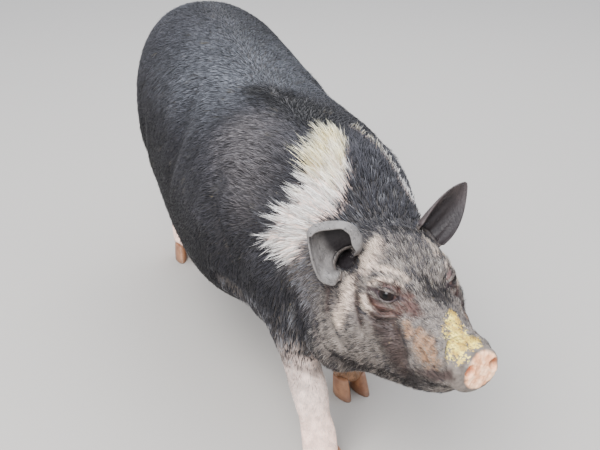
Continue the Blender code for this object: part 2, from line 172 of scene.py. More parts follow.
def wobble(points, size, seed, waves=9):
    """Soft noise between about -1 and 1, with lumps of about this size in metres."""
    random = np.random.default_rng(seed)
    total = np.zeros(len(points))
    for _ in range(waves):
        way = unit(random.normal(size=3)) * (2 * math.pi / size) * random.uniform(0.6, 1.7)
        total += np.sin(points @ way + random.uniform(0, 2 * math.pi))
    return total / math.sqrt(2 * waves)


def curve_through(knots, count=LINE_STEPS):
    """Evenly numbered places on a smooth curve through the knots, each a row of any length."""
    knots = np.asarray(knots, float)
    slopes = np.gradient(knots, axis=0)
    at = np.linspace(0, len(knots) - 1, count)
    k = np.minimum(at.astype(int), len(knots) - 2)
    t = (at - k)[:, None]
    return (
        (1 + 2 * t) * (1 - t) ** 2 * knots[k]
        + t * (1 - t) ** 2 * slopes[k]
        + t * t * (3 - 2 * t) * knots[k + 1]
        - t * t * (1 - t) * slopes[k + 1]
    )


def from_line(points, knots):
    """Each point's distance from a smooth line through knots in mm, and how far along it, 0 to 1."""
    line = MM * curve_through(knots)[:, :3]
    nearest = np.full(len(points), np.inf)
    along = np.zeros(len(points))
    for k, leg in enumerate(np.diff(line, axis=0)):
        t = np.clip((points - line[k]) @ leg / (leg @ leg), 0, 1)
        away = np.linalg.norm(points - line[k] - t[:, None] * leg, axis=1)
        closer = away < nearest
        nearest[closer] = away[closer]
        along[closer] = ((k + t) / (len(line) - 1))[closer]
    return nearest, along


def link(name, mesh):
    """A new object with this mesh, in the scene."""
    made = bpy.data.objects.new(name, mesh)
    bpy.context.scene.collection.objects.link(made)
    return made


def read(items, field, width, kind=np.float32):
    """One field of all these items of a mesh, as rows of so many numbers."""
    found = np.zeros(width * len(items), kind)
    items.foreach_get(field, found)
    return found.reshape(-1, width)


def coordinates(mesh):
    return read(mesh.vertices, "co", 3).astype(float)


def normals(mesh):
    return read(mesh.vertex_normals, "vector", 3).astype(float)


def place(mesh, points):
    """Moves the mesh's vertices to these points."""
    mesh.vertices.foreach_set("co", np.asarray(points, np.float32).ravel())
    mesh.update()


def settled(obj):
    """The mesh that the object's modifiers make; the object itself goes."""
    graph = bpy.context.evaluated_depsgraph_get()
    mesh = bpy.data.meshes.new_from_object(obj.evaluated_get(graph))
    bpy.data.objects.remove(obj)
    return mesh


print("tools ready")

# %% [markdown]
# ## The skin, 1: from parts to one body
#
# A pig's skin runs unbroken from snout to tail, but the solids come in parts with thin cuts between
# them. Grown by a hair's breadth and remeshed on one fine grid, they melt together, as clay parts
# do under a thumb. Smoothing then takes the facets out. The eyeballs go in for now as fillers, so
# that the head has no pockets where the lids will be modelled.

# %% One body from the solids
LEGS = ("foreleg_right", "foreleg_left", "hindleg_right", "hindleg_left")
FLESH = ("trunk", "neck", "head", "snout", "tail") + LEGS
JOIN = 0.0009  # grown by this, neighbouring parts overlap
GRID = 0.0055
EYE_RADIUS = 0.0112


def grown_copies(names, by):
    """Copies of these nodes' meshes, merged, grown and put in one mesh."""
    whole = bmesh.new()
    for name in names:
        part = bmesh.new()
        part.from_mesh(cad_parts[name].data)
        bmesh.ops.remove_doubles(part, verts=part.verts, dist=1e-5)
        part.normal_update()
        for vertex in part.verts:
            vertex.co += vertex.normal * by
        mesh = bpy.data.meshes.new(name + "_copy")
        part.to_mesh(mesh)
        whole.from_mesh(mesh)
        bpy.data.meshes.remove(mesh)
        part.free()
    return whole


def one_body():
    """All the flesh and the eyeballs as one mesh on an even grid."""
    whole = grown_copies(FLESH, JOIN)
    for centre in (eye_right, eye_left):
        bmesh.ops.create_icosphere(
            whole, subdivisions=3, radius=EYE_RADIUS, matrix=Matrix.Translation(centre)
        )
    mesh = bpy.data.meshes.new("body")
    whole.to_mesh(mesh)
    whole.free()
    body = link("body", mesh)
    remesh = body.modifiers.new("grid", "REMESH")
    remesh.mode = "VOXEL"
    remesh.voxel_size = GRID
    return settled(body)


body_mesh = one_body()
print("one body of", len(body_mesh.polygons), "faces")

# %% [markdown]
# ## The skin, 2: smoothing, and finer faces where the detail is
#
# Folds, lids and nostrils need faces far smaller than a flank does. The head's faces are divided
# once, those of the muzzle, round the eyes and at the ears' roots twice, and those of the lids and
# the disc of the snout three times.


# %% Smoothing and refining
SMOOTH_ROUNDS = 14
BODY_STRENGTH = 0.55
HEAD_SPARED, THIN_SPARED = 0.25, 0.42  # how much weaker on the head, and on legs and tail
HEAD_STARTS, MUZZLE_STARTS, DISC_STARTS = -0.030, 0.150, 0.191  # ahead in the head's frame
HEAD_ENDS = -0.190  # up in the head's frame
ROUND_EYE = ((EYES_AHEAD, EYES_ASIDE, -EYES_BELOW), 0.036)  # a place in the head's frame, a reach
AT_EAR = ((0.012, 0.064, 0.006), 0.028)
AT_LIDS = ((0.090, 0.046, -0.017), 0.0145)


def edges_of(mesh):
    """The two vertices of each edge."""
    return read(mesh.edges, "vertices", 2, np.int32)


def smoothed(points, edges, strength, rounds):
    """Each point drawn towards the middle of its neighbours, by its own strength, round by round."""
    count = np.bincount(edges.ravel(), minlength=len(points))
    neighbours = np.maximum(count, 1)[:, None]
    for _ in range(rounds):
        total = np.zeros_like(points)
        for axis in range(3):
            for one, other in ((0, 1), (1, 0)):
                total[:, axis] += np.bincount(
                    edges[:, one], points[edges[:, other], axis], len(points)
                )
        points = points + strength[:, None] * (total / neighbours - points)
    return points


def refine(mesh, chosen):
    """Divides each edge in two whose both ends are chosen."""
    work = bmesh.new()
    work.from_mesh(mesh)
    work.verts.ensure_lookup_table()
    edges = [e for e in work.edges if chosen[e.verts[0].index] and chosen[e.verts[1].index]]
    bmesh.ops.subdivide_edges(work, edges=edges, cuts=1, use_grid_fill=True)
    work.to_mesh(mesh)
    work.free()


def near(points, centre, radius):
    """Whether each point is this close to the centre."""
    return np.linalg.norm(points - np.array(centre), axis=1) < radius


def on_tail(points):
    """1 on the tail, 0 on the body."""
    return fall(points[:, 0], -0.486, -0.474) * fall(np.abs(points[:, 1]), 0.02, 0.03)


points = coordinates(body_mesh)
at_head = to_head(points)
on_head = rise(at_head[:, 0], -0.03, 0.02) * rise(at_head[:, 2], -0.20, -0.16)
on_leg = fall(points[:, 2], 0.10, 0.17) * (1 - on_head)
thin = np.clip(on_leg + on_tail(points), 0, 1)
strength = BODY_STRENGTH - HEAD_SPARED * on_head - THIN_SPARED * thin
place(body_mesh, smoothed(points, edges_of(body_mesh), strength, SMOOTH_ROUNDS))

at_head = to_head(coordinates(body_mesh))
refine(body_mesh, (at_head[:, 0] > HEAD_STARTS) & (at_head[:, 2] > HEAD_ENDS))
at_head = to_head(coordinates(body_mesh))
by_eyes = near(np.abs(at_head) * (1, 1, -1), *ROUND_EYE)
by_ears = near(np.abs(at_head), *AT_EAR)
refine(body_mesh, by_eyes | by_ears | (at_head[:, 0] > MUZZLE_STARTS))
at_head = to_head(coordinates(body_mesh))
lids = near(np.abs(at_head) * (1, 1, -1), *AT_LIDS)
refine(body_mesh, lids | (at_head[:, 0] > DISC_STARTS))
print("the refined skin has", len(body_mesh.polygons), "faces")

# %% [markdown]
# ## The skin, 3: the ears
#
# A pig's ear is a leaf of thin skin and gristle, rolled to a funnel at its root and opening to a
# cup. The right one leans forward, with its upper margin and tip rolled in and a soft lobe below. It
# is drawn as a net of places, rows from root to tip and in each row from the lower margin to the
# upper one, and a smooth sheet is laid through the net. The left one stands up and open: its rows
# are arcs that unroll towards the tip. Two sheets a few millimetres apart, stitched at the rim, make
# a closed shell, which a Boolean union then joins to the body as one skin.

# %% Ear shells
EAR_HALF_WALL, MARGIN_THINNER, TIP_THINNER = 0.0016, 0.45, 0.40
RIB_HEIGHT, RIB_TURNS = 0.0016, 9
EAR_RIM = 0.0015
EAR_ROWS, EAR_COLUMNS = 48, 50
RIGHT_EAR_AT = (0.024, -0.059, -0.002)
RIGHT_EAR_LOOKS = (0.81, -0.40, 0.43)  # the way out of the cup, in the head's frame
RIGHT_EAR = (
    # millimetres towards the head's middle, up, and out of the cup
    ((0, -20, 4), (-1, -11, 3), (-1, -3, -16), (4, 2, -20), (12, 4, -12), (15, 0, 3), (9, -4, 2)),
    ((-12, -28, 8), (-13, -17, 6), (-9, -4, -10), (0, 8, -14), (13, 14, -2), (17, 10, 8), (9, 7, 13)),
    ((-26, -24, 10), (-25, -12, 4), (-18, 2, -7), (-7, 15, -9), (10, 22, 2), (18, 17, 10), (11, 10, 16)),
    ((-34, -10, 14), (-32, 0, 6), (-25, 11, -3), (-13, 22, -4), (8, 33, 6), (17, 25, 13), (7, 17, 18)),
    ((-39, 8, 17), (-37, 14, 8), (-30, 23, 1), (-18, 33, 1), (-1, 41, 8), (10, 36, 15), (4, 28, 19)),
    ((-41, 24, 19), (-41, 32, 12), (-33, 39, 10), (-20, 42, 10), (-8, 42, 13), (0, 38, 17), (-2, 33, 20)),
    ((-38, 27, 22), (-33, 31, 20), (-26, 33, 19), (-16, 34, 19), (-7, 35, 19), (-2, 34, 20), (-2, 33, 21)),
)
LEFT_EAR_AT = (0.000, 0.064, 0.002)
LEFT_EAR_UP, LEFT_EAR_LOOKS = (-0.04, 0.84, 0.57), (0.92, 0.10, 0.28)
LEFT_EAR_LONG, LEFT_EAR_HALF_WIDE = 0.094, 0.036
LEFT_EAR_SUNK = 0.18  # share of its length inside the head
LEFT_EAR_LEAN = 0.22  # radians by which the tip leans back
LEFT_ROLL_ROOT, LEFT_ROLL_TIP = 112, 34  # degrees of arc on each side of the middle


def right_ear_ways():
    """The ways towards the middle, up and out of the right ear's cup, as rows."""
    looks = unit(np.array(RIGHT_EAR_LOOKS))
    inwards = unit(np.cross((0, 0, 1), looks))
    return np.array([inwards, np.cross(looks, inwards), looks])


def left_ear_ways():
    """The ways up the left ear, out of its cup and across it."""
    up = unit(np.array(LEFT_EAR_UP))
    looks = np.array(LEFT_EAR_LOOKS)
    looks = unit(looks - up * (looks @ up))
    return up, looks, np.cross(up, looks)


def right_leaf():
    """The right ear's middle surface: the net drawn smooth along its rows and then across them."""
    net = MM * np.array(RIGHT_EAR)
    rows = np.array([curve_through(row, EAR_COLUMNS + 1) for row in net])
    columns = [curve_through(rows[:, j], EAR_ROWS + 1) for j in range(EAR_COLUMNS + 1)]
    return np.array(RIGHT_EAR_AT) + np.stack(columns, axis=1) @ right_ear_ways()


def left_leaf():
    """The left ear's middle surface, in rows that are arcs and unroll towards the tip."""
    up, looks, across = left_ear_ways()
    v = np.linspace(-1, 1, EAR_COLUMNS + 1)
    rows = []
    spine = np.array(LEFT_EAR_AT) - up * LEFT_EAR_LONG * LEFT_EAR_SUNK
    for i in range(EAR_ROWS + 1):
        t = i / EAR_ROWS
        # Half its width: fullest a little above the root, and round at the tip.
        full = (1 - t**1.7) ** 0.8 * (0.86 + 0.5 * t * (1 - t))
        half = LEFT_EAR_HALF_WIDE * full + EAR_RIM
        roll = math.radians(LEFT_ROLL_ROOT + (LEFT_ROLL_TIP - LEFT_ROLL_ROOT) * t**0.8)
        turn = roll * v
        ahead = looks * math.cos(LEFT_EAR_LEAN * t) + up * math.sin(LEFT_EAR_LEAN * t)
        way = across * np.cos(turn)[:, None] + ahead * np.sin(turn)[:, None]
        steps = (way[1:] + way[:-1]) * half / EAR_COLUMNS
        sideways = np.vstack([np.zeros(3), np.cumsum(steps, axis=0)])
        rows.append(spine + sideways - sideways[EAR_COLUMNS // 2])
        upwards = up * math.cos(LEFT_EAR_LEAN * t) - looks * math.sin(LEFT_EAR_LEAN * t)
        spine = spine + upwards * LEFT_EAR_LONG / EAR_ROWS
    return np.array(rows)


LEAVES = {"right": right_leaf(), "left": left_leaf()}


def ear_shell(side):
    """A closed shell: two sheets on either side of the ear's leaf, stitched at the rim."""
    leaf = LEAVES[side]
    down, over = np.gradient(leaf, axis=0), np.gradient(leaf, axis=1)
    inward = unit(np.cross(over, down))
    v = np.linspace(-1, 1, EAR_COLUMNS + 1)[None, :]
    t = np.linspace(0, 1, EAR_ROWS + 1)[:, None]
    # The wall thins to its margins and to its tip.
    wall = EAR_HALF_WALL * (1 - MARGIN_THINNER * v**8) * (1 - TIP_THINNER * t**6)
    # Ribs of gristle run up inside the cup and fade towards the tip.
    ribs = RIB_HEIGHT * np.cos(RIB_TURNS * v) * fall(t, 0.35, 0.75) * (1 - v**4)
    front = leaf + inward * (wall + np.maximum(ribs, 0))[..., None]
    back = leaf - inward * wall[..., None]
    work = bmesh.new()
    grids = [
        [[work.verts.new(from_head(p)) for p in row] for row in sheet] for sheet in (front, back)
    ]
    for grid in grids:
        for i in range(EAR_ROWS):
            for j in range(EAR_COLUMNS):
                work.faces.new(
                    (grid[i][j], grid[i][j + 1], grid[i + 1][j + 1], grid[i + 1][j])
                )
    rim = [(i, 0) for i in range(EAR_ROWS)] + [(EAR_ROWS, j) for j in range(EAR_COLUMNS)]
    rim += [(i, EAR_COLUMNS) for i in range(EAR_ROWS, 0, -1)]
    rim += [(0, j) for j in range(EAR_COLUMNS, 0, -1)]
    for (i, j), (k, m) in zip(rim, rim[1:] + rim[:1]):
        work.faces.new((grids[0][i][j], grids[0][k][m], grids[1][k][m], grids[1][i][j]))
    bmesh.ops.recalc_face_normals(work, faces=work.faces)
    if work.calc_volume(signed=True) < 0:
        bmesh.ops.reverse_faces(work, faces=work.faces)
    mesh = bpy.data.meshes.new("ear_" + side + "_shell")
    work.to_mesh(mesh)
    work.free()
    return mesh


def surface_of(mesh):
    """A tree that finds the nearest place on a mesh."""
    work = bmesh.new()
    work.from_mesh(mesh)
    tree = BVHTree.FromBMesh(work)
    work.free()
    return tree


def distances(tree, points, reach):
    """Distance of each point from the surface, no more than reach."""
    found = np.full(len(points), reach)
    for k, point in enumerate(points):
        spot, _, _, away = tree.find_nearest(Vector(point), reach)
        if spot is not None:
            found[k] = away
    return found


bare_body = surface_of(body_mesh)
body = link("body", body_mesh)
shells = {side: ear_shell(side) for side in LEAVES}
ear_surfaces = {side: surface_of(mesh) for side, mesh in shells.items()}
for side, mesh in shells.items():
    union = body.modifiers.new("join_" + side, "BOOLEAN")
    union.operation = "UNION"
    union.solver = "MANIFOLD"
    union.object = link("ear_" + side + "_shell", mesh)
skin_mesh = settled(body)
for side in LEAVES:
    bpy.data.objects.remove(bpy.data.objects["ear_" + side + "_shell"])
print("body and ears as one skin of", len(skin_mesh.polygons), "faces")

# %% [markdown]
# ## The skin, 4: down by the coat's depth
#
# The solids reach to the tips of the bristles, so the skin lies inside them, deep under the long
# hair of the crest and the band and hardly at all on the snout. The bristles then stand in the
# space between.

# %% Smooth joins, and the coat's depth
EAR_MARGIN = 0.012  # how far round an ear's solid its points are looked for
ON_SHELL = 0.0002  # a point this close to the ear's shell belongs to it
JOIN_ROUNDS = 12

points = coordinates(skin_mesh)
on_ear = np.zeros(len(points))
by_ear = np.zeros(len(points))
for side in LEAVES:
    low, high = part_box("ear_" + side)
    inside = (points > np.array(low) - EAR_MARGIN) & (points < np.array(high) + EAR_MARGIN)
    rows = np.flatnonzero(np.all(inside, axis=1))
    from_body = distances(bare_body, points[rows], EAR_MARGIN)
    from_ear = distances(ear_surfaces[side], points[rows], EAR_MARGIN)
    free = rise(from_body, 0.0005, 0.006) * (from_ear < ON_SHELL)
    joined = fall(from_body, 0.001, 0.006) * fall(from_ear, 0.001, 0.007)
    on_ear[rows] = np.maximum(on_ear[rows], free)
    by_ear[rows] = np.maximum(by_ear[rows], joined)
points = smoothed(points, edges_of(skin_mesh), 0.5 * by_ear, JOIN_ROUNDS)

DEPTHS = {
    # metres from the tips of the coat down to the skin
    "body": 0.0050,
    "crest": 0.0090,
    "head": 0.0022,
    "snout": 0.0004,
    "shank": 0.0016,
    "foot": 0.0003,
}
TAIL_THINNER = 0.75


def coat_depth(points):
    """How far under the tips of the coat the skin lies."""
    head = to_head(points)
    x, _, z = points.T
    on_head = rise(head[:, 0], -0.02, 0.03) * rise(head[:, 2], -0.19, -0.16)
    depth = np.full(len(points), DEPTHS["body"])
    for region, mask in (
        ("crest", rise(x, 0.05, 0.11) * rise(z, 0.33, 0.37)),
        ("head", on_head),
        ("snout", rise(head[:, 0], 0.14, 0.185)),
        ("shank", fall(z, 0.11, 0.16) * (1 - on_head)),
        ("foot", fall(z, 0.02, 0.045)),
    ):
        depth = towards(depth, DEPTHS[region], mask)
    return depth * (1 - TAIL_THINNER * on_tail(points))


# Inside each cup the skin of the head goes down as a funnel, painted dark, and the cup's own skin is
# painted dark on the half that its margin shades: partly the ear's dark skin, partly painted shade.
FUNNEL_WIDE, FUNNEL_DEEP = 0.0135, 0.016
FUNNEL_FROM, FUNNEL_TO = -0.03, 0.04  # along its axis
CUP_REACH = 0.004  # a point this close to the leaf is on its ear
LEAF_CHUNK = 400  # points compared with the whole leaf at once
in_right, _, out_right = right_ear_ways()
up_left, out_left, _ = left_ear_ways()
FUNNELS = {
    # a place on its axis, and the axis out of the funnel
    "right": (np.array(RIGHT_EAR_AT) + 0.002 * in_right, out_right),
    "left": (np.array(LEFT_EAR_AT) + 0.014 * out_left, up_left),
}
PAST_MIDDLE = 0.03  # how far over the middle an ear's own skin may reach


def shaded(side, along, across):
    """1 where the ear's margin shades its cup; from root to tip 0 to 1, across it -1 to 1."""
    if side == "right":
        return rise(across, -0.36, -0.06) * fall(along, 0.90, 0.97)
    return 0.75 * rise(across, -0.62, -0.30) * fall(along, 0.60, 0.96)


def cup_shade(side, points):
    """How deep in the shade of its ear's margin each of these points lies; 0 outside the cup."""
    leaf = LEAVES[side]
    inner = unit(np.cross(np.gradient(leaf, axis=1), np.gradient(leaf, axis=0))).reshape(-1, 3)
    net = from_head(leaf).reshape(-1, 3)
    shade = np.zeros(len(points))
    for chunk in np.array_split(np.arange(len(points)), max(1, len(points) // LEAF_CHUNK)):
        apart = np.linalg.norm(points[chunk][:, None] - net[None], axis=2)
        nearest = apart.argmin(axis=1)
        along = nearest // (EAR_COLUMNS + 1) / EAR_ROWS
        across = nearest % (EAR_COLUMNS + 1) / EAR_COLUMNS * 2 - 1
        front = np.sum((points[chunk] - net[nearest]) * from_head_way(inner[nearest]), axis=1)
        in_cup = (front > 0) * (apart.min(axis=1) < CUP_REACH)
        shade[chunk] = shaded(side, along, across) * in_cup
    return shade


# partly dark skin, partly painted shade, in the ears' cups and funnels
cup_dark_and_shade = np.zeros(len(points))
for side, (centre, axis) in FUNNELS.items():
    from_funnel = to_head(points) - centre
    up = from_funnel @ axis
    aside = np.linalg.norm(from_funnel - up[:, None] * axis, axis=1)
    inside = fall(aside, 0.5 * FUNNEL_WIDE, FUNNEL_WIDE) * (up > FUNNEL_FROM) * (up < FUNNEL_TO)
    inside = inside * (1 - on_ear)
    points = points - from_head_way(axis) * (FUNNEL_DEEP * inside)[:, None]
    cup_dark_and_shade = np.maximum(cup_dark_and_shade, inside)
    rows = np.flatnonzero((on_ear > 0) & (points[:, 1] * SIDES[side] > -PAST_MIDDLE))
    cup_dark_and_shade[rows] = np.maximum(cup_dark_and_shade[rows], cup_shade(side, points[rows]))

place(skin_mesh, points)
points = points - normals(skin_mesh) * (coat_depth(points) * (1 - on_ear))[:, None]
place(skin_mesh, points)
print("skin lies", round(1000 * float(coat_depth(points).mean()), 1), "mm down on average")

# %% [markdown]
# ## The skin, 5: folds
#
# Loose, thick skin folds where the animal moves: over the brows, round the eyes, between cheek and
# muzzle, behind the jowls, at elbow and flank. Each fold is a line drawn on the head or the body. The
# skin sinks along the line and swells beside it, as real folds do.

# %% Lines of the folds
HEAD_FOLDS = (
    # name, width, depth (negative for a ridge), places in the head's frame on the right side; in mm
    ("brow", 5, -2.6, ((62, -52, -10), (75, -41, -2), (89, -28, -4), (101, -17, -14))),
    ("under the brow", 2.4, 2.6, ((62, -56, -18), (72, -50, -9), (86, -40, -5), (98, -29, -13))),
    ("over the brow", 3.2, 2, ((50, -52, -4), (62, -42, 5), (78, -29, 5), (94, -15, -3))),
    ("upper brow", 3, 1.3, ((44, -40, 10), (60, -30, 12), (78, -18, 6), (90, -6, 0))),
    ("lower lid", 2.2, 2, ((66, -56, -22), (76, -53, -33), (90, -47, -37), (103, -37, -33))),
    ("under the eye", 2.8, 2, ((62, -62, -27), (73, -60, -41), (89, -53, -46), (104, -43, -43))),
    ("outer corner", 2, 2.2, ((71, -52, -18), (62, -58, -19), (52, -64, -25))),
    ("inner corner", 2, 1.5, ((94, -36, -19), (104, -30, -28), (114, -27, -40))),
    ("cheek", 5, 3.6, ((52, -62, -8), (57, -66, -28), (72, -68, -50), (83, -63, -74))),
    ("muzzle", 8, 6.2, ((98, -48, -36), (111, -47, -51), (123, -45, -70), (126, -41, -92))),
    ("cheek behind", 4.5, 2.4, ((22, -80, -26), (30, -86, -50), (44, -82, -80), (62, -70, -100))),
    ("jowl", 4.5, 1.8, ((0, -90, -50), (10, -94, -78), (30, -88, -105), (58, -66, -124))),
    ("upper lip", 3, 2.4,
     ((138, -6, -31), (152, -13, -36), (167, -21, -41), (178, -29, -52), (181, -30, -64))),
    ("mouth", 2.2, 4.2, ((192, -24, -83), (170, -36, -80), (146, -42, -84), (124, -44, -92))),
    ("lip", 5, -1.8, ((190, -27, -76), (166, -37, -72), (143, -41, -74), (128, -43, -78))),
    ("chin", 4, 1.6, ((150, -34, -106), (126, -40, -112), (100, -46, -116))),
)
BRIDGE_FOLDS = (113, 126, 138, 151, 164)  # mm ahead, where each crosses the muzzle
BODY_FOLDS = (
    # name, width, depth, places in the model's frame on the right side; in mm
    ("flank", 20, 3.8,
     ((-130, -60, 400), (-90, -100, 387), (-58, -122, 361), (-40, -136, 320), (-60, -150, 255))),
    ("ham", 20, 4.2, ((-250, -150, 330), (-262, -150, 270), (-275, -140, 215), (-300, -120, 175))),
    ("shoulder", 13, 5.5,
     ((118, -110, 372), (136, -126, 343), (145, -134, 311), (160, -130, 280), (168, -120, 245))),
    ("elbow", 10, 5, ((120, -125, 235), (150, -122, 215), (180, -115, 205))),
    ("neck", 10, 6, ((262, -60, 330), (268, -74, 300), (270, -78, 262), (272, -66, 222), (275, -30, 196))),
    ("nape", 12, 3, ((232, -30, 380), (240, -58, 350), (246, -80, 310), (246, -88, 270))),
)
ONE_SIDED = ("neck", "nape")
BRIDGE_WIDTH, BRIDGE_DEPTH, BRIDGE_BOW = 0.0022, 0.0011, 0.10
FOLD_FADES = 0.14  # share of its length over which a fold fades at each end
FOLD_SWELL = 0.45  # how high the skin stands beside a fold, as a share of its depth


def fold(points, line, width, depth):
    """How far the skin rises beside a fold's line and sinks along it."""
    away, along = from_line(points, line)
    ends = rise(along, 0, FOLD_FADES) * fall(along, 1 - FOLD_FADES, 1)
    return ends * depth * (FOLD_SWELL * bell(away, 2 * width, width) - bell(away, 0, width))


def on_right(points):
    """The same points, all brought over to the right side."""
    return points * (1, 0, 1) - np.abs(points) * (0, 1, 0)


def folds(points):
    """How far each point of the skin moves outwards by all the folds together."""
    head = to_head(points)
    height = np.zeros(len(points))
    # The head's lines reach no further than this.
    here = np.flatnonzero((head[:, 0] > -0.05) & (head[:, 2] > HEAD_ENDS))
    for _, width, depth, line in HEAD_FOLDS:
        height[here] += fold(on_right(head[here]), line, MM * width, MM * depth)
    top = rise(head[:, 2], -0.066, -0.045) * rise(head[:, 0], 0.10, 0.112)
    for k, ahead in enumerate(BRIDGE_FOLDS):
        bend = MM * ahead + BRIDGE_BOW * np.abs(head[:, 1]) + 0.002 * wobble(points, 0.03, 40 + k)
        height -= BRIDGE_DEPTH * top * bell(head[:, 0], bend, BRIDGE_WIDTH)
    for name, width, depth, line in BODY_FOLDS:
        beside = points if name in ONE_SIDED else on_right(points)
        height += fold(beside, line, MM * width, MM * depth)
    return height


# In two halves, so that the second starts from the form that the first one made.
points = coordinates(skin_mesh)
for _ in range(2):
    points = points + normals(skin_mesh) * (0.5 * folds(points) * (1 - on_ear))[:, None]
    place(skin_mesh, points)
print(len(HEAD_FOLDS) + len(BRIDGE_FOLDS) + len(BODY_FOLDS), "folds drawn")

# %% [markdown]
# ## The skin, 6: muzzle disc and nostrils
#
# A pig digs with the disc at the end of its snout: a tough pad with a raised rim, nearly flat in
# front, and two open nostrils. The rim swells out from the axis, the pad sinks a little, and each
# nostril is pushed in as an oval pit with a soft lip.

# %% Disc, rim and nostrils
DISC_AHEAD, DISC_ASIDE, DISC_HEIGHT, DISC_RADIUS = 0.201, 0.004, -0.060, 0.0215
RIM_AHEAD, RIM_WIDTH, RIM_SWELL = 0.1965, 0.0042, 0.0016
GROOVE_AHEAD, GROOVE_WIDTH, GROOVE_SINK = 0.1855, 0.0055, 0.0020  # behind the rim
PAD_RADIUS, PAD_SINK = 0.021, 0.0022
PAD_LUMPS, PAD_RELIEF = 0.007, 0.0006
NOSTRIL_APART, NOSTRIL_UP = 0.0150, 0.0035
NOSTRIL_SIZE = (0.0054, 0.0068)  # half width, half height
NOSTRIL_DEPTH, NOSTRIL_LIP, NOSTRIL_LEAN = 0.0100, 0.0011, 0.18


def nostril_oval(at_head, side, lean):
    """0 in the middle of the nostril on this side, 1 on its edge."""
    aside = at_head[:, 1] - side * NOSTRIL_APART
    up = at_head[:, 2] - DISC_HEIGHT - NOSTRIL_UP + lean * side * aside
    return np.hypot((aside - DISC_ASIDE) / NOSTRIL_SIZE[0], up / NOSTRIL_SIZE[1])


at_head = to_head(points)
ahead = at_head[:, 0]
from_axis = at_head[:, 1:] - (DISC_ASIDE, DISC_HEIGHT)
radius = np.linalg.norm(from_axis, axis=1)
outward = np.zeros_like(points)
outward[:, 1:] = from_axis / np.maximum(radius, 1e-6)[:, None]
rim = bell(ahead, RIM_AHEAD, RIM_WIDTH) * rise(radius, 0.010, 0.020)
groove = bell(ahead, GROOVE_AHEAD, GROOVE_WIDTH)
moved = at_head + outward * (RIM_SWELL * rim - GROOVE_SINK * groove)[:, None]

facing = rise(ahead, DISC_AHEAD - 0.009, DISC_AHEAD - 0.003)
moved[:, 0] -= PAD_SINK * facing * np.clip(1 - (radius / PAD_RADIUS) ** 2, 0, 1)
moved[:, 0] += PAD_RELIEF * facing * wobble(points, PAD_LUMPS, 90)
for side in SIDES.values():
    q = nostril_oval(at_head, side, NOSTRIL_LEAN)
    moved[:, 0] -= NOSTRIL_DEPTH * facing * fall(q, 0.55, 1.05)
    moved[:, 0] += NOSTRIL_LIP * facing * bell(q, 1.28, 0.22)
points = from_head(moved)
place(skin_mesh, points)
nostril = np.minimum(*[nostril_oval(at_head, side, 0) for side in SIDES.values()])
in_nostril = fall(nostril, 0.45, 0.95) * rise(ahead, 0.180, 0.186)
print("nostrils", NOSTRIL_DEPTH * 1000, "mm deep")

# %% [markdown]
# ## The skin, 7: sockets and lids
#
# The lids lie on the ball and slide over it, so they follow its curve. Round each eye the skin is
# taken to a sphere a little larger than the ball, inside the almond of the opening it goes behind
# the ball, and between them it rolls over as the lids' margin. Further out it blends into brow and
# cheek.

# %% Lids
GAZE = unit(np.array((0.62, -0.74, 0.20)))  # of the right eye, in the head's frame
OPEN_WIDE = 0.0103  # from the middle of the opening to its corners
OPEN_UP, OPEN_DOWN = 0.002496, 0.003328  # and to the edges of the lids
LID, LID_ROLL, LID_TUCK = 0.0015, 0.0006, 0.0032  # thickness, swollen margin, depth behind the ball
TILT = math.radians(8)  # the outer corner is the lower one
LIDS_END, SOCKET_ENDS = 1.5, 2.7  # openness
SOCKET_REACH = 0.034
SOCKET_PLAY = 0.004  # how far beyond the lids the skin may stand off the ball
BEHIND = 9.0  # stands for far outside the opening


def eye_frame(side):
    """Centre, gaze, and the ways along and up the opening of the eye on this side (-1 right)."""
    centre = np.array((EYES_AHEAD, side * EYES_ASIDE, -EYES_BELOW))
    gaze = GAZE * (1, -side, 1)
    level = unit(np.cross((0, 0, 1), gaze)) * side
    rising = unit(np.cross(gaze, level)) * side
    rising = rising if rising[2] > 0 else -rising
    along = level * math.cos(TILT) + rising * math.sin(TILT)
    up = rising * math.cos(TILT) - level * math.sin(TILT)
    return centre, gaze, along, up


def openness(points, side):
    """0 in the middle of the opening, 1 on the lids' edge, more outside; and the way from the ball."""
    centre, gaze, along, up = eye_frame(side)
    away = to_head(points) - centre
    s, t = away @ along, away @ up
    # An almond: the edges draw together towards both corners.
    shape = np.where(t > 0, OPEN_UP, OPEN_DOWN)
    q = np.sqrt((s / OPEN_WIDE) ** 2 + (t / shape) ** 2 * (1 + 0.55 * (s / OPEN_WIDE) ** 2))
    return np.where(away @ gaze > -0.002, q, BEHIND), away


def from_eyes(points):
    """The openness of whichever eye is nearer."""
    return np.minimum(*[openness(points, side)[0] for side in SIDES.values()])


for side in SIDES.values():
    q, away = openness(points, side)
    distance = np.linalg.norm(away, axis=1)
    near_eye = distance < SOCKET_REACH
    lid = EYE_RADIUS + LID * rise(q, 1.0, 1.22) - LID_TUCK * fall(q, 0.94, 1.04)
    lid += LID_ROLL * bell(q, 1.35, 0.18)
    blend = fall(q, LIDS_END, SOCKET_ENDS) * near_eye * fall(distance, 0.018, 0.026)
    beyond = np.clip(distance, lid, lid + SOCKET_PLAY)
    wanted = np.where(q < LIDS_END, lid, beyond)
    to_be = unit(away) * (wanted + (distance - wanted) * (1 - blend))[:, None]
    moved = to_head(points)
    moved[near_eye] = (to_be + eye_frame(side)[0])[near_eye]
    points = from_head(moved)
place(skin_mesh, points)
opening = (2000 * OPEN_WIDE, 1000 * (OPEN_UP + OPEN_DOWN))
print("lids open", round(opening[0], 1), "by", round(opening[1], 1), "mm")
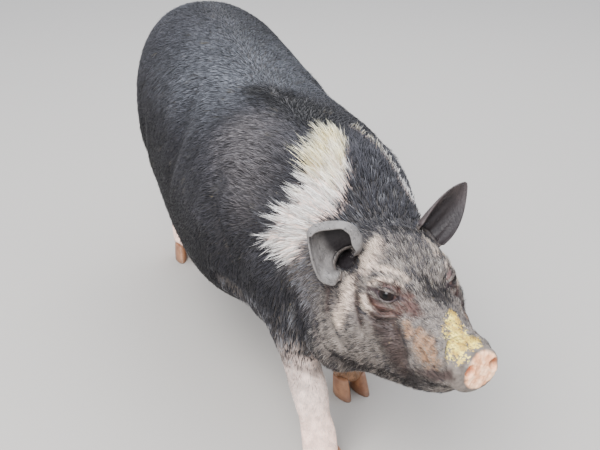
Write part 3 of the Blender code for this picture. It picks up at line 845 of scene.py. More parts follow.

# %% [markdown]
# ## Markings
#
# The pig is black and grey, with a cream band over the shoulders, white legs, and pale, rusty and
# dark patches on its face. Each marking is a stroke on the body with a soft, ragged edge, as a
# painter would lay it on a cast. The same strokes give the masks for the skin and for the root of
# every bristle, so coat and skin always agree. Some masks are painted light: a painted sheen of the
# sky on the top of the back, and painted shade on the underside and in the valley of the coat by
# the whorl.

# %% Strokes of the markings
# A stroke is a row of places, each with its half width, in mm: those of the body in the model's
# frame, those of the face in the head's frame on the right side.
BAND = (
    # the middle of its roots on the right side, from the crest down
    (160, 22, 406, 20),
    (202, 1, 392, 25),
    (238, -25, 365, 28),
    (247, -53, 341, 25),
    (251, -69, 319, 23),
    (260, -75, 299, 13),
)
FAR_BAND = (
    # the thin line where it ends on the left side
    (112, 66, 393, 2),
    (142, 84, 378, 5),
    (190, 96, 355, 6),
    (226, 93, 339, 5),
    (238, 100, 304, 14),
    (242, 94, 280, 10),
)
WHORL = (-10, 0, 411)  # the hair grows outwards from this place on the back
WHORL_VALLEY_SHADE = (
    # painted shade along the back, in the valley of the coat ahead of the raised hair at the whorl
    (-20, -16, 408, 20),
    (30, 2, 409, 29),
    (80, 18, 405, 31),
    (130, 20, 402, 23),
)
SMOKY = (
    # a sparse, brownish place behind the band
    (90, -66, 396, 34),
    (135, -78, 378, 36),
    (168, -86, 360, 28),
    (185, -100, 330, 16),
)
NECK_SIDE = (
    # brownish grey under and behind the ear
    (262, -40, 332, 14),
    (266, -58, 305, 20),
    (282, -63, 276, 22),
    (312, -60, 262, 20),
)
JOWL_LIGHT = (
    # where more of the bristles are light
    ((50, -80, -78, 16), (76, -68, -80, 20), (94, -60, -70, 15)),
    ((36, -86, -92, 12), (60, -76, -100, 14), (86, -62, -98, 12)),
)

HEAD_MARKS = {
    "pale": (
        ((30, -21, 17, 5), (40, -31, 11, 10), (49, -45, -1, 8)),
        ((58, -38, 2, 3), (70, -29, 0, 5), (84, -16, -7, 3.5)),
        ((66, -52, -13, 2), (78, -40, -4, 3), (90, -25, -10, 2)),
        ((44, -62, -18, 6), (51, -71, -37, 9.5), (49, -80, -62, 8)),
        ((66, -60, -28, 4), (78, -57, -36, 5.5)),
    ),
    "rust": (
        ((92, -30, -12, 4), (102, -24, -22, 7.5), (115, -24, -31, 7)),
        ((96, -38, -22, 4), (104, -36, -32, 6)),
        ((78, -44, -8, 2.5), (90, -34, -11, 3)),
        ((76, -54, -28, 4), (86, -49, -34, 5.5), (97, -42, -34, 4)),
    ),
    "dark": (
        ((88, 6, -9, 5), (100, 8, -18, 11), (113, 12, -26, 10)),
        ((98, 26, -20, 7), (110, 22, -27, 7)),
        ((44, -80, -112, 7), (76, -60, -122, 11), (112, -42, -116, 11)),
        ((112, -42, -116, 11), (124, -34, -112, 10), (134, -28, -106, 9)),
        ((132, -30, -102, 10), (155, -30, -94, 8), (186, -26, -80, 5)),
        ((16, -62, -12, 6), (28, -56, -4, 5), (30, -40, 6, 4)),
        ((22, 10, 19, 7), (26, 28, 17, 9), (30, 46, 8, 6)),
    ),
    # most umber strokes lie along the folds of muzzle, cheeks, lids and lip, and make skin and bristles
    # darker there
    "umber": (
        ((86, -55, -43, 7), (101, -48, -51, 13), (116, -46, -67, 13)),
        ((116, -46, -67, 13), (122, -44, -82, 12), (124, -40, -96, 12)),
        ((12, -74, -22, 7), (24, -78, -38, 6), (30, -82, -56, 4)),
        ((58, -63, -24, 4.5), (66, -64, -42, 5), (76, -62, -54, 5)),
        ((50, -58, -10, 3), (55, -64, -22, 4), (60, -67, -36, 4)),
        ((68, -54, -18, 2.5), (80, -54, -31, 3), (94, -47, -34, 4)),
        ((73, -55, -24, 3), (80, -52, -29, 4.2), (90, -46, -31, 3)),
        ((72, -54, -15, 1.8), (84, -46, -10, 2.2), (95, -36, -13, 1.6)),
        ((150, -36, -84, 6), (172, -33, -72, 7), (190, -27, -62, 6)),
    ),
    "peach": (
        ((119, -36, -38, 4), (126, -36, -46, 5)),
        ((135, -31, -43, 6), (145, -32, -50, 10), (155, -34, -60, 8)),
        ((150, -26, -45, 5), (168, -30, -58, 6)),
    ),
}
STAIN = (
    # yellow, over the bridge of the snout to its rim
    ((134, 14, -33, 5), (150, 4, -35, 8), (166, -4, -36, 8)),
    ((166, -4, -36, 9), (178, -10, -36, 10), (190, -19, -41, 7)),
    ((172, 0, -36, 6), (184, 4, -36, 7)),
)
STROKE_STEPS = 7  # dabs along one stroke


def strokes(points, lines, ragged, seed, soft=1.0):
    """1 inside any of the strokes, 0 outside, with a ragged edge that is the softer the wider."""
    found = np.zeros(len(points))
    frayed = ragged * wobble(points, 0.016, seed) + 0.6 * ragged * wobble(points, 0.005, seed + 1)
    for line in lines:
        for spot in MM * curve_through(line, STROKE_STEPS):
            away = np.linalg.norm(points - spot[:3], axis=1) / spot[3]
            found = np.maximum(found, fall(away + frayed, 1 - 0.6 * soft, 1 + 0.75 * soft))
    return found


def swath(points, line, edge):
    """1 within the line's own half width, which is each knot's fourth number."""
    away, along = from_line(points, line)
    half = MM * np.interp(along, np.linspace(0, 1, LINE_STEPS), curve_through(line)[:, 3])
    return rise(half - away, -edge, edge)


def markings(points):
    """Masks from 0 to 1 for the skin and for the roots of the coat."""
    head = to_head(points)
    x, y, z = points.T
    frayed = 0.006 * wobble(points, 0.030, 11) + 0.003 * wobble(points, 0.009, 12)
    on_head = rise(head[:, 0], -0.015, 0.030) * rise(head[:, 2], -0.185, -0.165)
    off_head = 1 - on_head

    # White: the band over the shoulders with its thin far edge, and the legs.
    band = swath(points + frayed[:, None], BAND, 0.006)
    band = np.maximum(band, 0.85 * swath(points + 0.4 * frayed[:, None], FAR_BAND, 0.004))
    fore = rise(x + frayed, 0.105, 0.150) * (z < 0.26)
    hind = fall(x - frayed, -0.230, -0.190) * (z < 0.26)
    down = z - 2.5 * frayed
    sock = fall(down, 0.090, 0.206) * fore + fall(down, 0.085, 0.140) * hind
    # The left fore pastern is tan.
    tan = (x > 0.02) * rise(y, 0.0, 0.02) * fall(z, 0.050, 0.085)
    white = np.maximum(band * off_head, sock * off_head) * (1 - 0.75 * tan)
    masks = {"white": white}
    masks["cream"] = rise(z + 2 * frayed, 0.352, 0.398) * white

    # The left side of the face has the same marks as the right, away from the middle.
    left_face = rise(head[:, 1], 0.030, 0.042)
    for k, (name, lines) in enumerate(HEAD_MARKS.items()):
        here = strokes(head, lines, 0.30, 20 + 3 * k)
        there = strokes(head * (1, -1, 1), lines, 0.30, 50 + 3 * k)
        masks[name] = np.maximum(here, there * left_face)
    masks["peach"] = np.maximum(0.75 * masks["peach"], 0.85 * tan)
    # Round each eye the bristles go umber: partly dark lids and lashes, partly painted shade round the
    # eye.
    masks["umber"] = np.maximum(masks["umber"], 0.75 * fall(from_eyes(points), 1.3, 2.4))

    # Dark: patches of the face and the nape, and painted shade on the underside and along the back by the
    # whorl.
    nape = rise(x, 0.185, 0.225) * rise(z, 0.30, 0.34) * off_head
    smoky = 0.85 * strokes(points, [SMOKY], 0.35, 37, 1.6)
    neck_side = strokes(points, [NECK_SIDE], 0.25, 39)
    # Painted shade: the lower body and the belly go darker, reaching higher towards the rear.
    rearward = 0.045 * fall(x, -0.08, 0.10)
    under = fall(z + 0.3 * frayed - rearward, 0.210, 0.330)
    under *= off_head * (1 - sock) * (1 - neck_side) * (1 - 0.6 * smoky)
    under *= 1 - 0.60 * fall(z, 0.200, 0.270) * fore
    # painted shade in the valley of the coat ahead of the whorl
    whorl = strokes(points, [WHORL_VALLEY_SHADE], 0.40, 41, 1.2)
    dark = 0.85 * masks["dark"] + 0.80 * under + 1.00 * whorl + 0.34 * nape
    masks["dark"] = np.clip(dark, 0, 1) * (1 - white)

    # Stained and bare, pink skin of the snout, and skin that shows through above the claws.
    masks["stain"] = strokes(head, STAIN, 0.42, 31, 1.1)
    from_axis = np.hypot(head[:, 1] - DISC_ASIDE, head[:, 2] - DISC_HEIGHT)
    pad = rise(head[:, 0], 0.186, 0.193) * fall(from_axis, DISC_RADIUS - 0.002, DISC_RADIUS + 0.0015)
    masks["pink"] = np.maximum(pad, 0.75 * sock * fall(z, 0.050, 0.130) * (1 - tan))
    masks["face"] = on_head

    # A painted sheen of the sky lies on the top of the back, as lighter bluish bristles; brown behind the
    # band and on the side of the neck.
    painted_sky_sheen = rise(z + frayed, 0.335, 0.420) * fall(x, -0.06, 0.06) * (1 - 0.80 * fall(x, -0.32, -0.10))
    masks["painted_sky_sheen"] = painted_sky_sheen * (1 - masks["dark"])
    masks["brown"] = np.maximum(smoky, neck_side)

    # Grey is the share of light bristles among the dark ones.
    crown = rise(head[:, 0], 0.044, 0.074) * rise(head[:, 2], -0.045, -0.020)
    face_grey = 0.46 + 0.24 * crown + 0.40 * strokes(head, JOWL_LIGHT, 0.35, 43)
    face_grey = np.maximum(face_grey, 0.75 * rise(head[:, 0], 0.122, 0.140))
    elbow_ward = fall(z - frayed, 0.185, 0.245) * fore * off_head
    grey = face_grey * on_head + 0.20 * nape + 0.55 * neck_side + 0.60 * elbow_ward
    masks["grey"] = np.clip(grey, 0, 1)
    return masks


MASKS = tuple(markings(np.zeros((1, 3))))
print("masks:", ", ".join(MASKS))


# %% The skin as a piece, with its masks and its unwrap
def store(mesh, name, values, kind="FLOAT"):
    """What each point of a mesh carries under this name, for materials and Geometry Nodes."""
    kept = mesh.attributes.get(name) or mesh.attributes.new(name, kind, "POINT")
    kept.data.foreach_set("value" if kind == "FLOAT" else "vector", np.asarray(values, np.float32).ravel())


def unwrap(piece, angle):
    """An unwrap of the piece's own shape, cut where it bends by more than this angle in degrees."""
    piece.data.uv_layers.new(name="OFBake")
    bpy.ops.object.select_all(action="DESELECT")
    piece.select_set(True)
    bpy.context.view_layer.objects.active = piece
    bpy.ops.object.mode_set(mode="EDIT")
    bpy.ops.mesh.select_all(action="SELECT")
    bpy.ops.uv.smart_project(angle_limit=math.radians(angle), island_margin=0.001)
    bpy.ops.object.mode_set(mode="OBJECT")


skin = link("skin", skin_mesh)
skin_mesh.shade_smooth()
unwrap(skin, 66)
skin_points = coordinates(skin_mesh)
for name, mask in markings(skin_points).items():
    store(skin_mesh, name, mask)
store(skin_mesh, "ear", on_ear)
store(skin_mesh, "cup_dark_and_shade", cup_dark_and_shade)
store(skin_mesh, "far", rise(skin_points[:, 1], 0.03, 0.05))
store(skin_mesh, "nostril", in_nostril)
# round each eye the skin is painted dark: partly dark lids and lashes, partly painted shade in the creases
# round the eye
store(skin_mesh, "socket", fall(from_eyes(skin_points), 1.35, 2.60))
print("skin of", len(skin_mesh.polygons), "faces, unwrapped")

# %% [markdown]
# ## The lie of the coat
#
# Bristles grow backwards and down: away from the spine over flank and ham, down the legs, and back
# from the snout over brow and cheek. Each root gets its way, its lift from the skin, its length and
# its thickness, from the same kind of formulas as the markings.

# %% How the bristles lie, stand and vary
STRAY = 0.08  # how far the lie wanders
GROWTH = {
    # roots for each square centimetre, length and width in mm, lift in degrees; None: as it was
    "body": (14.2, 16, 1.00, 9),
    "low": (10.5, 13, 1.20, 6),
    "crest": (14.5, 23, 0.92, 19),
    "band": (20, 25, 0.88, 21),
    "leg": (13, 5.5, 0.52, 7),
    "head": (38, 8, 0.46, 13),
    "brow": (None, 10, None, 19),
    "muzzle": (36, 5, 0.46, 11),
    "chin": (None, 12, None, 24),
    "tail": (14, 18, 1.20, 10),
    "ear": (12, 3.5, 0.40, 10),
}
BAND_TOP_LONGER, BAND_TOP_HIGHER = 19, 10  # mm, degrees


def softly(sides, width):
    """-1 on the right to 1 on the left, turning over within this width of the middle."""
    return np.tanh(sides / width)[:, None]


def along_skin(ways, out):
    """The ways laid flat on the skin, whose own ways out are given."""
    return unit(ways - out * np.sum(ways * out, axis=1, keepdims=True))


def lie(points, out):
    """The way in which the bristle at each point grows, along the skin."""
    head = to_head(points)
    x, y, z = points.T
    aside = np.array((0, 1.0, 0))
    low = fall(z, 0.15, 0.22)
    nape = rise(x, 0.10, 0.16) * rise(z, 0.29, 0.34)
    fore = rise(x, 0.05, 0.10) * fall(z, 0.21, 0.30)
    hind = fall(x, -0.25, -0.20) * fall(z, 0.16, 0.24)
    from_whorl = points - MM * np.array(WHORL)
    swirl = 0.35 * fall(np.linalg.norm(from_whorl, axis=1), 0.020, 0.050)
    way = (-0.72, 0, -0.70) + 0.45 * aside * softly(y, 0.03)
    for mask, target in (
        (low, np.array((-1, 0, -0.2))),
        (nape, (-1, 0, -0.05) + 0.40 * aside * softly(y - 0.02, 0.05)),
        (fore, np.array((-0.15, 0, -1))),
        (hind, np.array((-0.2, 0, -1))),
        (swirl, unit(from_whorl * (1, 1, 0))),
    ):
        way = towards(way, target, mask[:, None])

    top = rise(head[:, 2], -0.055, -0.005)
    muzzle = rise(head[:, 0], 0.105, 0.135)
    chin = fall(head[:, 2], -0.125, -0.100)
    jowl = fall(head[:, 0], 0.015, 0.050) * fall(head[:, 2], -0.06, -0.03)
    face = np.array((-0.85, 0, -0.35))
    for mask, target in (
        (top, (-0.95, 0, 0.45) + 0.35 * aside * softly(head[:, 1], 0.03)),
        (muzzle, (-1, 0, 0.1) + 0.25 * aside * np.sign(head[:, 1:2])),
        (chin, np.array((-0.55, 0, -0.75))),
        (jowl, np.array((-0.6, 0, -0.75))),
    ):
        face = towards(face, target, mask[:, None])
    on_head = rise(head[:, 0], -0.030, 0.015) * rise(head[:, 2], -0.19, -0.165)
    way = towards(way, from_head_way(face), on_head[:, None])
    way = towards(way, np.array((-0.1, 0, -1)), on_tail(points)[:, None])
    stray = np.stack([wobble(points, 0.016, 60 + k) for k in range(3)], axis=1)
    return along_skin(unit(way) + STRAY * stray, out)


def growth(points, masks, ear):
    """Roots for each square metre, and length, width and lift of a bristle, at each point."""
    head = to_head(points)
    x, _, z = points.T
    on_head = masks["face"]
    fore = rise(x, 0.05, 0.10) * fall(z, 0.14, 0.20)
    hind = fall(x, -0.25, -0.20) * fall(z, 0.13, 0.20)
    muzzle = rise(head[:, 0], 0.100, 0.140) * on_head
    band = masks["white"] * rise(z, 0.25, 0.30)
    regions = {
        "low": fall(z, 0.17, 0.24) * (1 - on_head),
        "crest": rise(x, 0.10, 0.17) * rise(z, 0.34, 0.375) * (1 - on_head),
        "band": band,
        "leg": np.maximum(fore, hind) * (1 - on_head),
        "head": on_head,
        "brow": on_head * rise(head[:, 2], -0.035, -0.005) * (1 - muzzle),
        "muzzle": muzzle,
        "chin": on_head * fall(head[:, 2], -0.125, -0.100),
        "tail": on_tail(points),
        "ear": ear,
    }
    found = [np.full(len(points), float(start)) for start in GROWTH["body"]]
    for region, mask in regions.items():
        for k, target in enumerate(GROWTH[region]):
            if target is not None:
                found[k] = towards(found[k], target, mask)
    density, length, width, lift = found
    length += BAND_TOP_LONGER * band * rise(z, 0.345, 0.40)
    lift += BAND_TOP_HIGHER * band * rise(z, 0.37, 0.40)
    haired = (1 - rise(head[:, 0], 0.184, 0.192)) * (1 - fall(z, 0.024, 0.036))
    return 1e4 * density * haired, MM * length, MM * width, lift


print("lie and growth ready")

# %% [markdown]
# ## Planting the roots
#
# Roots are scattered over the skin's faces by area and density, always in the same order, so that
# every run grows the same coat. A root keeps its place on the skin's unwrap.

# %% Roots on the skin
LID_BARE, LID_HAIRED = 1.45, 2.1  # openness at which the coat starts round an eye, and is full

skin_mesh.calc_loop_triangles()
corners = read(skin_mesh.loop_triangles, "vertices", 3, np.int32)
loops = read(skin_mesh.loop_triangles, "loops", 3, np.int32)
flat = read(skin_mesh.uv_layers["OFBake"].uv, "vector", 2).astype(float)
skin_out = normals(skin_mesh)

a, b, c = (skin_points[corners[:, k]] for k in range(3))
areas = 0.5 * np.linalg.norm(np.cross(b - a, c - a), axis=1)
centres = (a + b + c) / 3
density = growth(centres, markings(centres), on_ear[corners].mean(axis=1))[0]
density = density * rise(from_eyes(centres), LID_BARE, LID_HAIRED)
density = density * (1 - cup_dark_and_shade[corners].mean(axis=1))
random = np.random.default_rng(7)
planted = np.floor(areas * density + random.random(len(corners))).astype(int)
on_face = np.repeat(np.arange(len(corners)), planted)
share = random.random((len(on_face), 2))
over = share.sum(axis=1) > 1
share[over] = 1 - share[over]
share = np.column_stack([1 - share.sum(axis=1), share])


def at_roots(values, corner_rows):
    """Values of the faces' corners, blended at each root by its share of them."""
    return np.einsum("ij,ijk->ik", share, values[corner_rows[on_face]])


roots = at_roots(skin_points, corners)
roots_out = unit(at_roots(skin_out, corners))
roots_flat = at_roots(flat, loops)
roots_ear = at_roots(on_ear[:, None], corners)[:, 0]
print(len(roots), "roots planted")

# %% Each root's way, bend and size
LENGTHS, WIDTHS, LIFTS = (0.72, 1.18), (0.8, 1.2), (0.5, 1.5)  # as shares of what the place gives
WAY_LUCK, BEND_LUCK = 0.11, 0.06
BEND_BACK = 0.75  # share of its lift that a bristle bends back by
BAND_BLOWN = np.array((-0.10, 0, 0.0))
BAND_DROOP = 0.45
LOCK_SHARE = 0.14  # of the bristles lead a lock
LOCK_PULL, BAND_PULL = 0.24, 0.72  # how far the others' tips go to the lead's
LOCK_LUCK = 0.62  # of them take the lead's shade

root_masks = markings(roots)
_, length, width, lift = growth(roots, root_masks, roots_ear)
luck = random.random(len(roots))
length = length * rise(from_eyes(roots), 0.2, 3.6)
length = length * random.uniform(*LENGTHS, len(roots))
width = width * random.uniform(*WIDTHS, len(roots))
along = lie(roots, roots_out)
along = along_skin(unit(along + WAY_LUCK * random.normal(size=along.shape)), roots_out)
angle = np.radians(lift * random.uniform(*LIFTS, len(roots)))[:, None]
way = along * np.cos(angle) + roots_out * np.sin(angle)

# Bristles draw together in little locks, which also share a shade.
leads = np.flatnonzero(random.random(len(roots)) < LOCK_SHARE)
finder = KDTree(len(leads))
for k, lead in enumerate(leads):
    finder.insert(roots[lead], k)
finder.balance()
lead_of = leads[np.array([finder.find(root)[1] for root in roots])]
tips = roots + way * length[:, None]
band = root_masks["white"] * rise(roots[:, 2], 0.25, 0.30)
pull = towards(LOCK_PULL, BAND_PULL, band)[:, None]
way = unit(tips + pull * (tips[lead_of] - tips) - roots)
luck = np.where(random.random(len(roots)) < LOCK_LUCK, luck[lead_of], luck)

# A bristle leaves the skin at an angle and then bends back down towards it. The long ones of the
# band are also blown a little backwards, and droop by luck.
bend = -BEND_BACK * np.sin(angle) * roots_out * length[:, None]
bend += BEND_LUCK * random.normal(size=bend.shape) * length[:, None]
band = (root_masks["white"] * rise(roots[:, 2], 0.33, 0.39))[:, None]
droop = BAND_DROOP * roots_out * random.uniform(0, 1, (len(roots), 1))
bend += band * length[:, None] * (BAND_BLOWN - droop)
print("bristles from", round(1000 * length.min(), 1), "to", round(1000 * length.max(), 1), "mm")

# %% [markdown]
# ## Bristles by Geometry Nodes
#
# One tree grows a whole patch of coat: it makes a slim three-sided cone, flattens it, puts one on
# every root, turned and scaled by what the root carries, bends each towards its tip, and notes the
# root's place on the unwrap. Realize Instances makes it a plain mesh.


# %% The bristle tree
def add(tree, kind, feeds=None, **settings):
    """A new node with these settings; each socket is fed with an output or a plain value."""
    made = tree.nodes.new(kind)
    for key, value in settings.items():
        setattr(made, key, value)
    for label, value in (feeds or {}).items():
        feed(tree, value, made.inputs[label])
    return made


def feed(tree, value, socket):
    if isinstance(value, bpy.types.NodeSocket):
        tree.links.new(value, socket)
    else:
        socket.default_value = value


def maths(tree, operation, *values):
    return add(tree, "ShaderNodeMath", dict(enumerate(values)), operation=operation).outputs[0]


VECTOR = "FLOAT_VECTOR"
FLATNESS = 0.5  # a bristle's thickness as a share of its width
FULLER = (1.1, 0.8)  # a cone's width is taken times its height by the first, plus the second
SPOT_SIZE = 0.003  # of a bristle on the unwrap


def bristle_tree():
    """The tree, and the identifier of each of its inputs."""
    tree = bpy.data.node_groups.new("bristles", "GeometryNodeTree")
    inputs = {}
    for label, kind in (("Roots", "Geometry"), ("Segments", "Int"), ("Finish", "Material")):
        socket = tree.interface.new_socket(label, in_out="INPUT", socket_type="NodeSocket" + kind)
        inputs[label] = socket.identifier
    tree.interface.new_socket("Coat", in_out="OUTPUT", socket_type="NodeSocketGeometry")

    def node(kind, feeds=None, **settings):
        return add(tree, kind, feeds, **settings).outputs

    def carried(label, kind="FLOAT"):
        """What roots or points carry under this name."""
        found = node("GeometryNodeInputNamedAttribute", {"Name": label}, data_type=kind)
        return found["Attribute"]

    def noted(geometry, label, value, kind="FLOAT", domain="POINT"):
        feeds = {"Geometry": geometry, "Name": label, "Value": value}
        return node("GeometryNodeStoreNamedAttribute", feeds, data_type=kind, domain=domain)[0]

    def scaled(vector, number):
        return node("ShaderNodeVectorMath", {0: vector, "Scale": number}, operation="SCALE")[0]

    given = node("NodeGroupInput")

    # One bristle, a unit long: a cone that keeps its width for longer, flattened to a blade.
    sizes = {"Vertices": 3, "Side Segments": given["Segments"], "Radius Bottom": 0.5, "Depth": 1.0}
    cone = node("GeometryNodeMeshCone", sizes, fill_type="NGON")["Mesh"]
    at = node("ShaderNodeSeparateXYZ", {0: node("GeometryNodeInputPosition")[0]})
    wide = maths(tree, "MULTIPLY_ADD", at["Z"], *FULLER)
    thin = maths(tree, "MULTIPLY", wide, FLATNESS)
    across = {"X": maths(tree, "MULTIPLY", at["X"], wide), "Y": maths(tree, "MULTIPLY", at["Y"], thin)}
    shape = node("ShaderNodeCombineXYZ", {**across, "Z": at["Z"]})[0]
    cone = noted(cone, "tip", at["Z"])
    blade = node("GeometryNodeSetPosition", {"Geometry": cone, "Position": shape})[0]
    blade = noted(blade, "spot", shape, VECTOR)

    # A bristle on every root, turned, scaled and then bent.
    axes = {"Primary Axis": carried("way", VECTOR), "Secondary Axis": carried("out", VECTOR)}
    turn = node("FunctionNodeAxesToRotation", axes, primary_axis="Z", secondary_axis="Y")[0]
    wide = carried("width")
    size = node("ShaderNodeCombineXYZ", {"X": wide, "Y": wide, "Z": carried("length")})[0]
    feeds = {"Points": given["Roots"], "Instance": blade, "Rotation": turn, "Scale": size}
    coat = node("GeometryNodeInstanceOnPoints", feeds)[0]
    coat = node("GeometryNodeRealizeInstances", {0: coat})[0]
    drop = scaled(carried("bend", VECTOR), maths(tree, "POWER", carried("tip"), 2.0))
    coat = node("GeometryNodeSetPosition", {"Geometry": coat, "Offset": drop})[0]

    # Its spot on the unwrap lies round its root's.
    spot = node("ShaderNodeSeparateXYZ", {0: scaled(carried("spot", VECTOR), SPOT_SIZE)})
    spot = node("ShaderNodeCombineXYZ", {"X": spot["X"], "Y": spot["Z"]})[0]
    bake = node("ShaderNodeVectorMath", {0: carried("bake", VECTOR), 1: spot}, operation="ADD")[0]
    coat = noted(coat, "OFBake", bake, "FLOAT2", "CORNER")
    coat = node("GeometryNodeSetShadeSmooth", {"Geometry": coat})[0]
    coat = node("GeometryNodeSetMaterial", {"Geometry": coat, "Material": given["Finish"]})[0]
    node("NodeGroupOutput", {"Coat": coat})
    return tree, inputs


BRISTLES, BRISTLE_INPUTS = bristle_tree()
print("a tree of", len(BRISTLES.nodes), "nodes grows the bristles")

# %% [markdown]
# ## Colours
#
# One group of nodes turns the masks into the colour of a hair's root and tip and of the skin, so
# that both materials share one set of markings. Pigs carry light and dark bristles side by side:
# on grizzled skin, a bristle's own luck decides which it is.


# %% The markings group
def colour(red, green, blue):
    """A colour as a painter names it, 0 to 255, for Blender's linear sockets."""
    parts = [c / 255 for c in (red, green, blue)]
    return [c / 12.92 if c <= 0.04045 else ((c + 0.055) / 1.055) ** 2.4 for c in parts] + [1]


def mix(tree, factor, first, second, kind="MIX"):
    feeds = {"Factor": factor, 6: first, 7: second}
    return add(tree, "ShaderNodeMix", feeds, data_type="RGBA", blend_type=kind).outputs[2]


def mix_pair(tree, factor, first, second):
    """The same mix for a hair's root and for its tip."""
    return [mix(tree, factor, one, other) for one, other in zip(first, second)]


def step(tree, value, low, high, to_low=0.0, to_high=1.0):
    feeds = {"Value": value, "From Min": low, "From Max": high, "To Min": to_low, "To Max": to_high}
    return add(tree, "ShaderNodeMapRange", feeds, interpolation_type="SMOOTHSTEP").outputs["Result"]


def noise(tree, where, scale, detail=3.0, roughness=0.55):
    feeds = {"Vector": where, "Scale": scale, "Detail": detail, "Roughness": roughness}
    return add(tree, "ShaderNodeTexNoise", feeds).outputs["Fac"]


def strongest(tree, start, at, parts):
    """The start, or the strongest of these masks, each taken at its part."""
    for label, part in parts.items():
        start = maths(tree, "MAXIMUM", start, maths(tree, "MULTIPLY", at[label], part))
    return start


HAIR = {
    # a hair's colour at its root and at its tip; the darker roots of the pale and cream bristles are
    # painted shade between the strands, and the light tips of the dark bristles are partly painted sheen
    "dark": (colour(24, 24, 27), colour(82, 81, 87)),
    # painted sheen: the sky's reflection on the black bristles of the back, as light bluish tips
    "painted_sky_sheen": (colour(36, 37, 41), colour(130, 133, 141)),
    "brown": (colour(58, 54, 55), colour(130, 125, 126)),
    "black": (colour(11, 11, 13), colour(24, 24, 27)),
    "sable": (colour(20, 17, 17), colour(20, 17, 17)),
    "grey": (colour(78, 78, 82), colour(132, 132, 136)),
    "face": (colour(110, 101, 95), colour(186, 178, 169)),
    "pale": (colour(208, 199, 192), colour(255, 252, 248)),
    "cream": (colour(204, 186, 130), colour(255, 248, 216)),
    "beige": (colour(164, 148, 130), colour(226, 210, 191)),
    "umber": (colour(45, 37, 35), colour(45, 37, 35)),
    "rust": (colour(68, 48, 43), colour(68, 48, 43)),
    "rosy": (colour(255, 232, 219), colour(255, 232, 219)),
}
LIGHT_HAIRS = {"pale": 0.92, "white": 1.15, "peach": 0.40}  # share of light bristles in a mark
WHITE_HAIRS = {"pale": 0.70, "peach": 0.20}  # how white they are there
GREY_SHARE, LEAST_SHARE, DARK_SHARE = 0.66, 0.015, 0.94
HAIR_TINTS = {"umber": 0.85, "rust": 0.7}
STAIN_DEEP, STAIN_PALE = colour(194, 160, 72), colour(224, 202, 100)
SKIN_PLAIN, SKIN_FACE = colour(30, 28, 31), colour(72, 65, 63)
SKIN_TINTS = {
    # how much of the colour, the colour
    "grey": (0.6, colour(132, 122, 113)),
    "white": (1, colour(226, 200, 188)),
    "pale": (1, colour(198, 176, 160)),
    "umber": (1, colour(62, 50, 47)),
    "peach": (1, colour(138, 100, 68)),
    "rust": (1, colour(78, 54, 48)),
    "dark": (1, colour(26, 23, 25)),
}
SKIN_ROSY, DISC_DEEP, DISC_PALE_AND_GLINT = colour(255, 214, 196), colour(255, 182, 134), colour(255, 206, 166)


def markings_group():
    tree = bpy.data.node_groups.new("markings", "ShaderNodeTree")
    inputs = {name: "Float" for name in MASKS + ("luck",)} | {"place": "Vector"}
    for label, kind in inputs.items():
        tree.interface.new_socket(label, in_out="INPUT", socket_type="NodeSocket" + kind)
    for label in ("root", "tip", "skin"):
        tree.interface.new_socket(label, in_out="OUTPUT", socket_type="NodeSocketColor")
    at = add(tree, "NodeGroupInput").outputs
    patches = noise(tree, at["place"], 14.0)
    fine = noise(tree, at["place"], 90.0, 4.0)

    # Light bristles: all of them in the white, some of them in grizzled places.
    share = strongest(tree, maths(tree, "MULTIPLY", at["grey"], GREY_SHARE), at, LIGHT_HAIRS)
    share = maths(tree, "MAXIMUM", share, LEAST_SHARE)
    unlit = maths(tree, "SUBTRACT", 1.0, maths(tree, "MULTIPLY", at["dark"], DARK_SHARE))
    share = maths(tree, "MULTIPLY", share, unlit)
    light = step(tree, maths(tree, "SUBTRACT", share, at["luck"]), -0.04, 0.04)

    # painted sheen of the sky on the top of the back
    hair = mix_pair(tree, at["painted_sky_sheen"], HAIR["dark"], HAIR["painted_sky_sheen"])
    hair = mix_pair(tree, at["brown"], hair, HAIR["brown"])
    black = mix_pair(tree, at["face"], HAIR["black"], HAIR["sable"])
    hair = mix_pair(tree, at["dark"], hair, black)
    hair[1] = mix(tree, 1.0, hair[1], step(tree, patches, 0.35, 0.65, 0.82, 1.18), "MULTIPLY")
    # How white a light bristle is: plain grey on the body, whiter on the face, white in the white.
    bright = strongest(tree, at["white"], at, WHITE_HAIRS)
    grey = mix_pair(tree, at["face"], HAIR["grey"], HAIR["face"])
    white = mix_pair(tree, at["cream"], HAIR["pale"], HAIR["cream"])
    white = mix_pair(tree, at["face"], white, HAIR["beige"])
    hair = mix_pair(tree, light, hair, mix_pair(tree, bright, grey, white))
    for label, part in HAIR_TINTS.items():
        hair = mix_pair(tree, maths(tree, "MULTIPLY", at[label], part), hair, HAIR[label])
    hair = mix_pair(tree, at["pink"], hair, HAIR["rosy"])
    stained = mix(tree, step(tree, fine, 0.42, 0.60), STAIN_DEEP, STAIN_PALE)
    caught = maths(tree, "SUBTRACT", at["stain"], maths(tree, "MULTIPLY", at["luck"], 1.05))
    caught = step(tree, caught, -0.02, 0.10)
    root, tip = mix_pair(tree, caught, hair, (stained, stained))

    bare = mix(tree, at["face"], SKIN_PLAIN, SKIN_FACE)
    for label, (part, shade) in SKIN_TINTS.items():
        bare = mix(tree, maths(tree, "MULTIPLY", at[label], part), bare, shade)
    # The disc is mottled at random between a deeper and a paler pink; the paler patches are partly painted
    # highlights of the wet skin.
    wet = mix(tree, step(tree, fine, 0.40, 0.62), DISC_DEEP, DISC_PALE_AND_GLINT)
    bare = mix(tree, at["pink"], bare, mix(tree, at["face"], SKIN_ROSY, wet))
    bare = mix(tree, caught, bare, stained)
    bare = mix(tree, 1.0, bare, step(tree, fine, 0.34, 0.66, 0.80, 1.22), "MULTIPLY")
    add(tree, "NodeGroupOutput", {"root": root, "tip": tip, "skin": bare})
    return tree


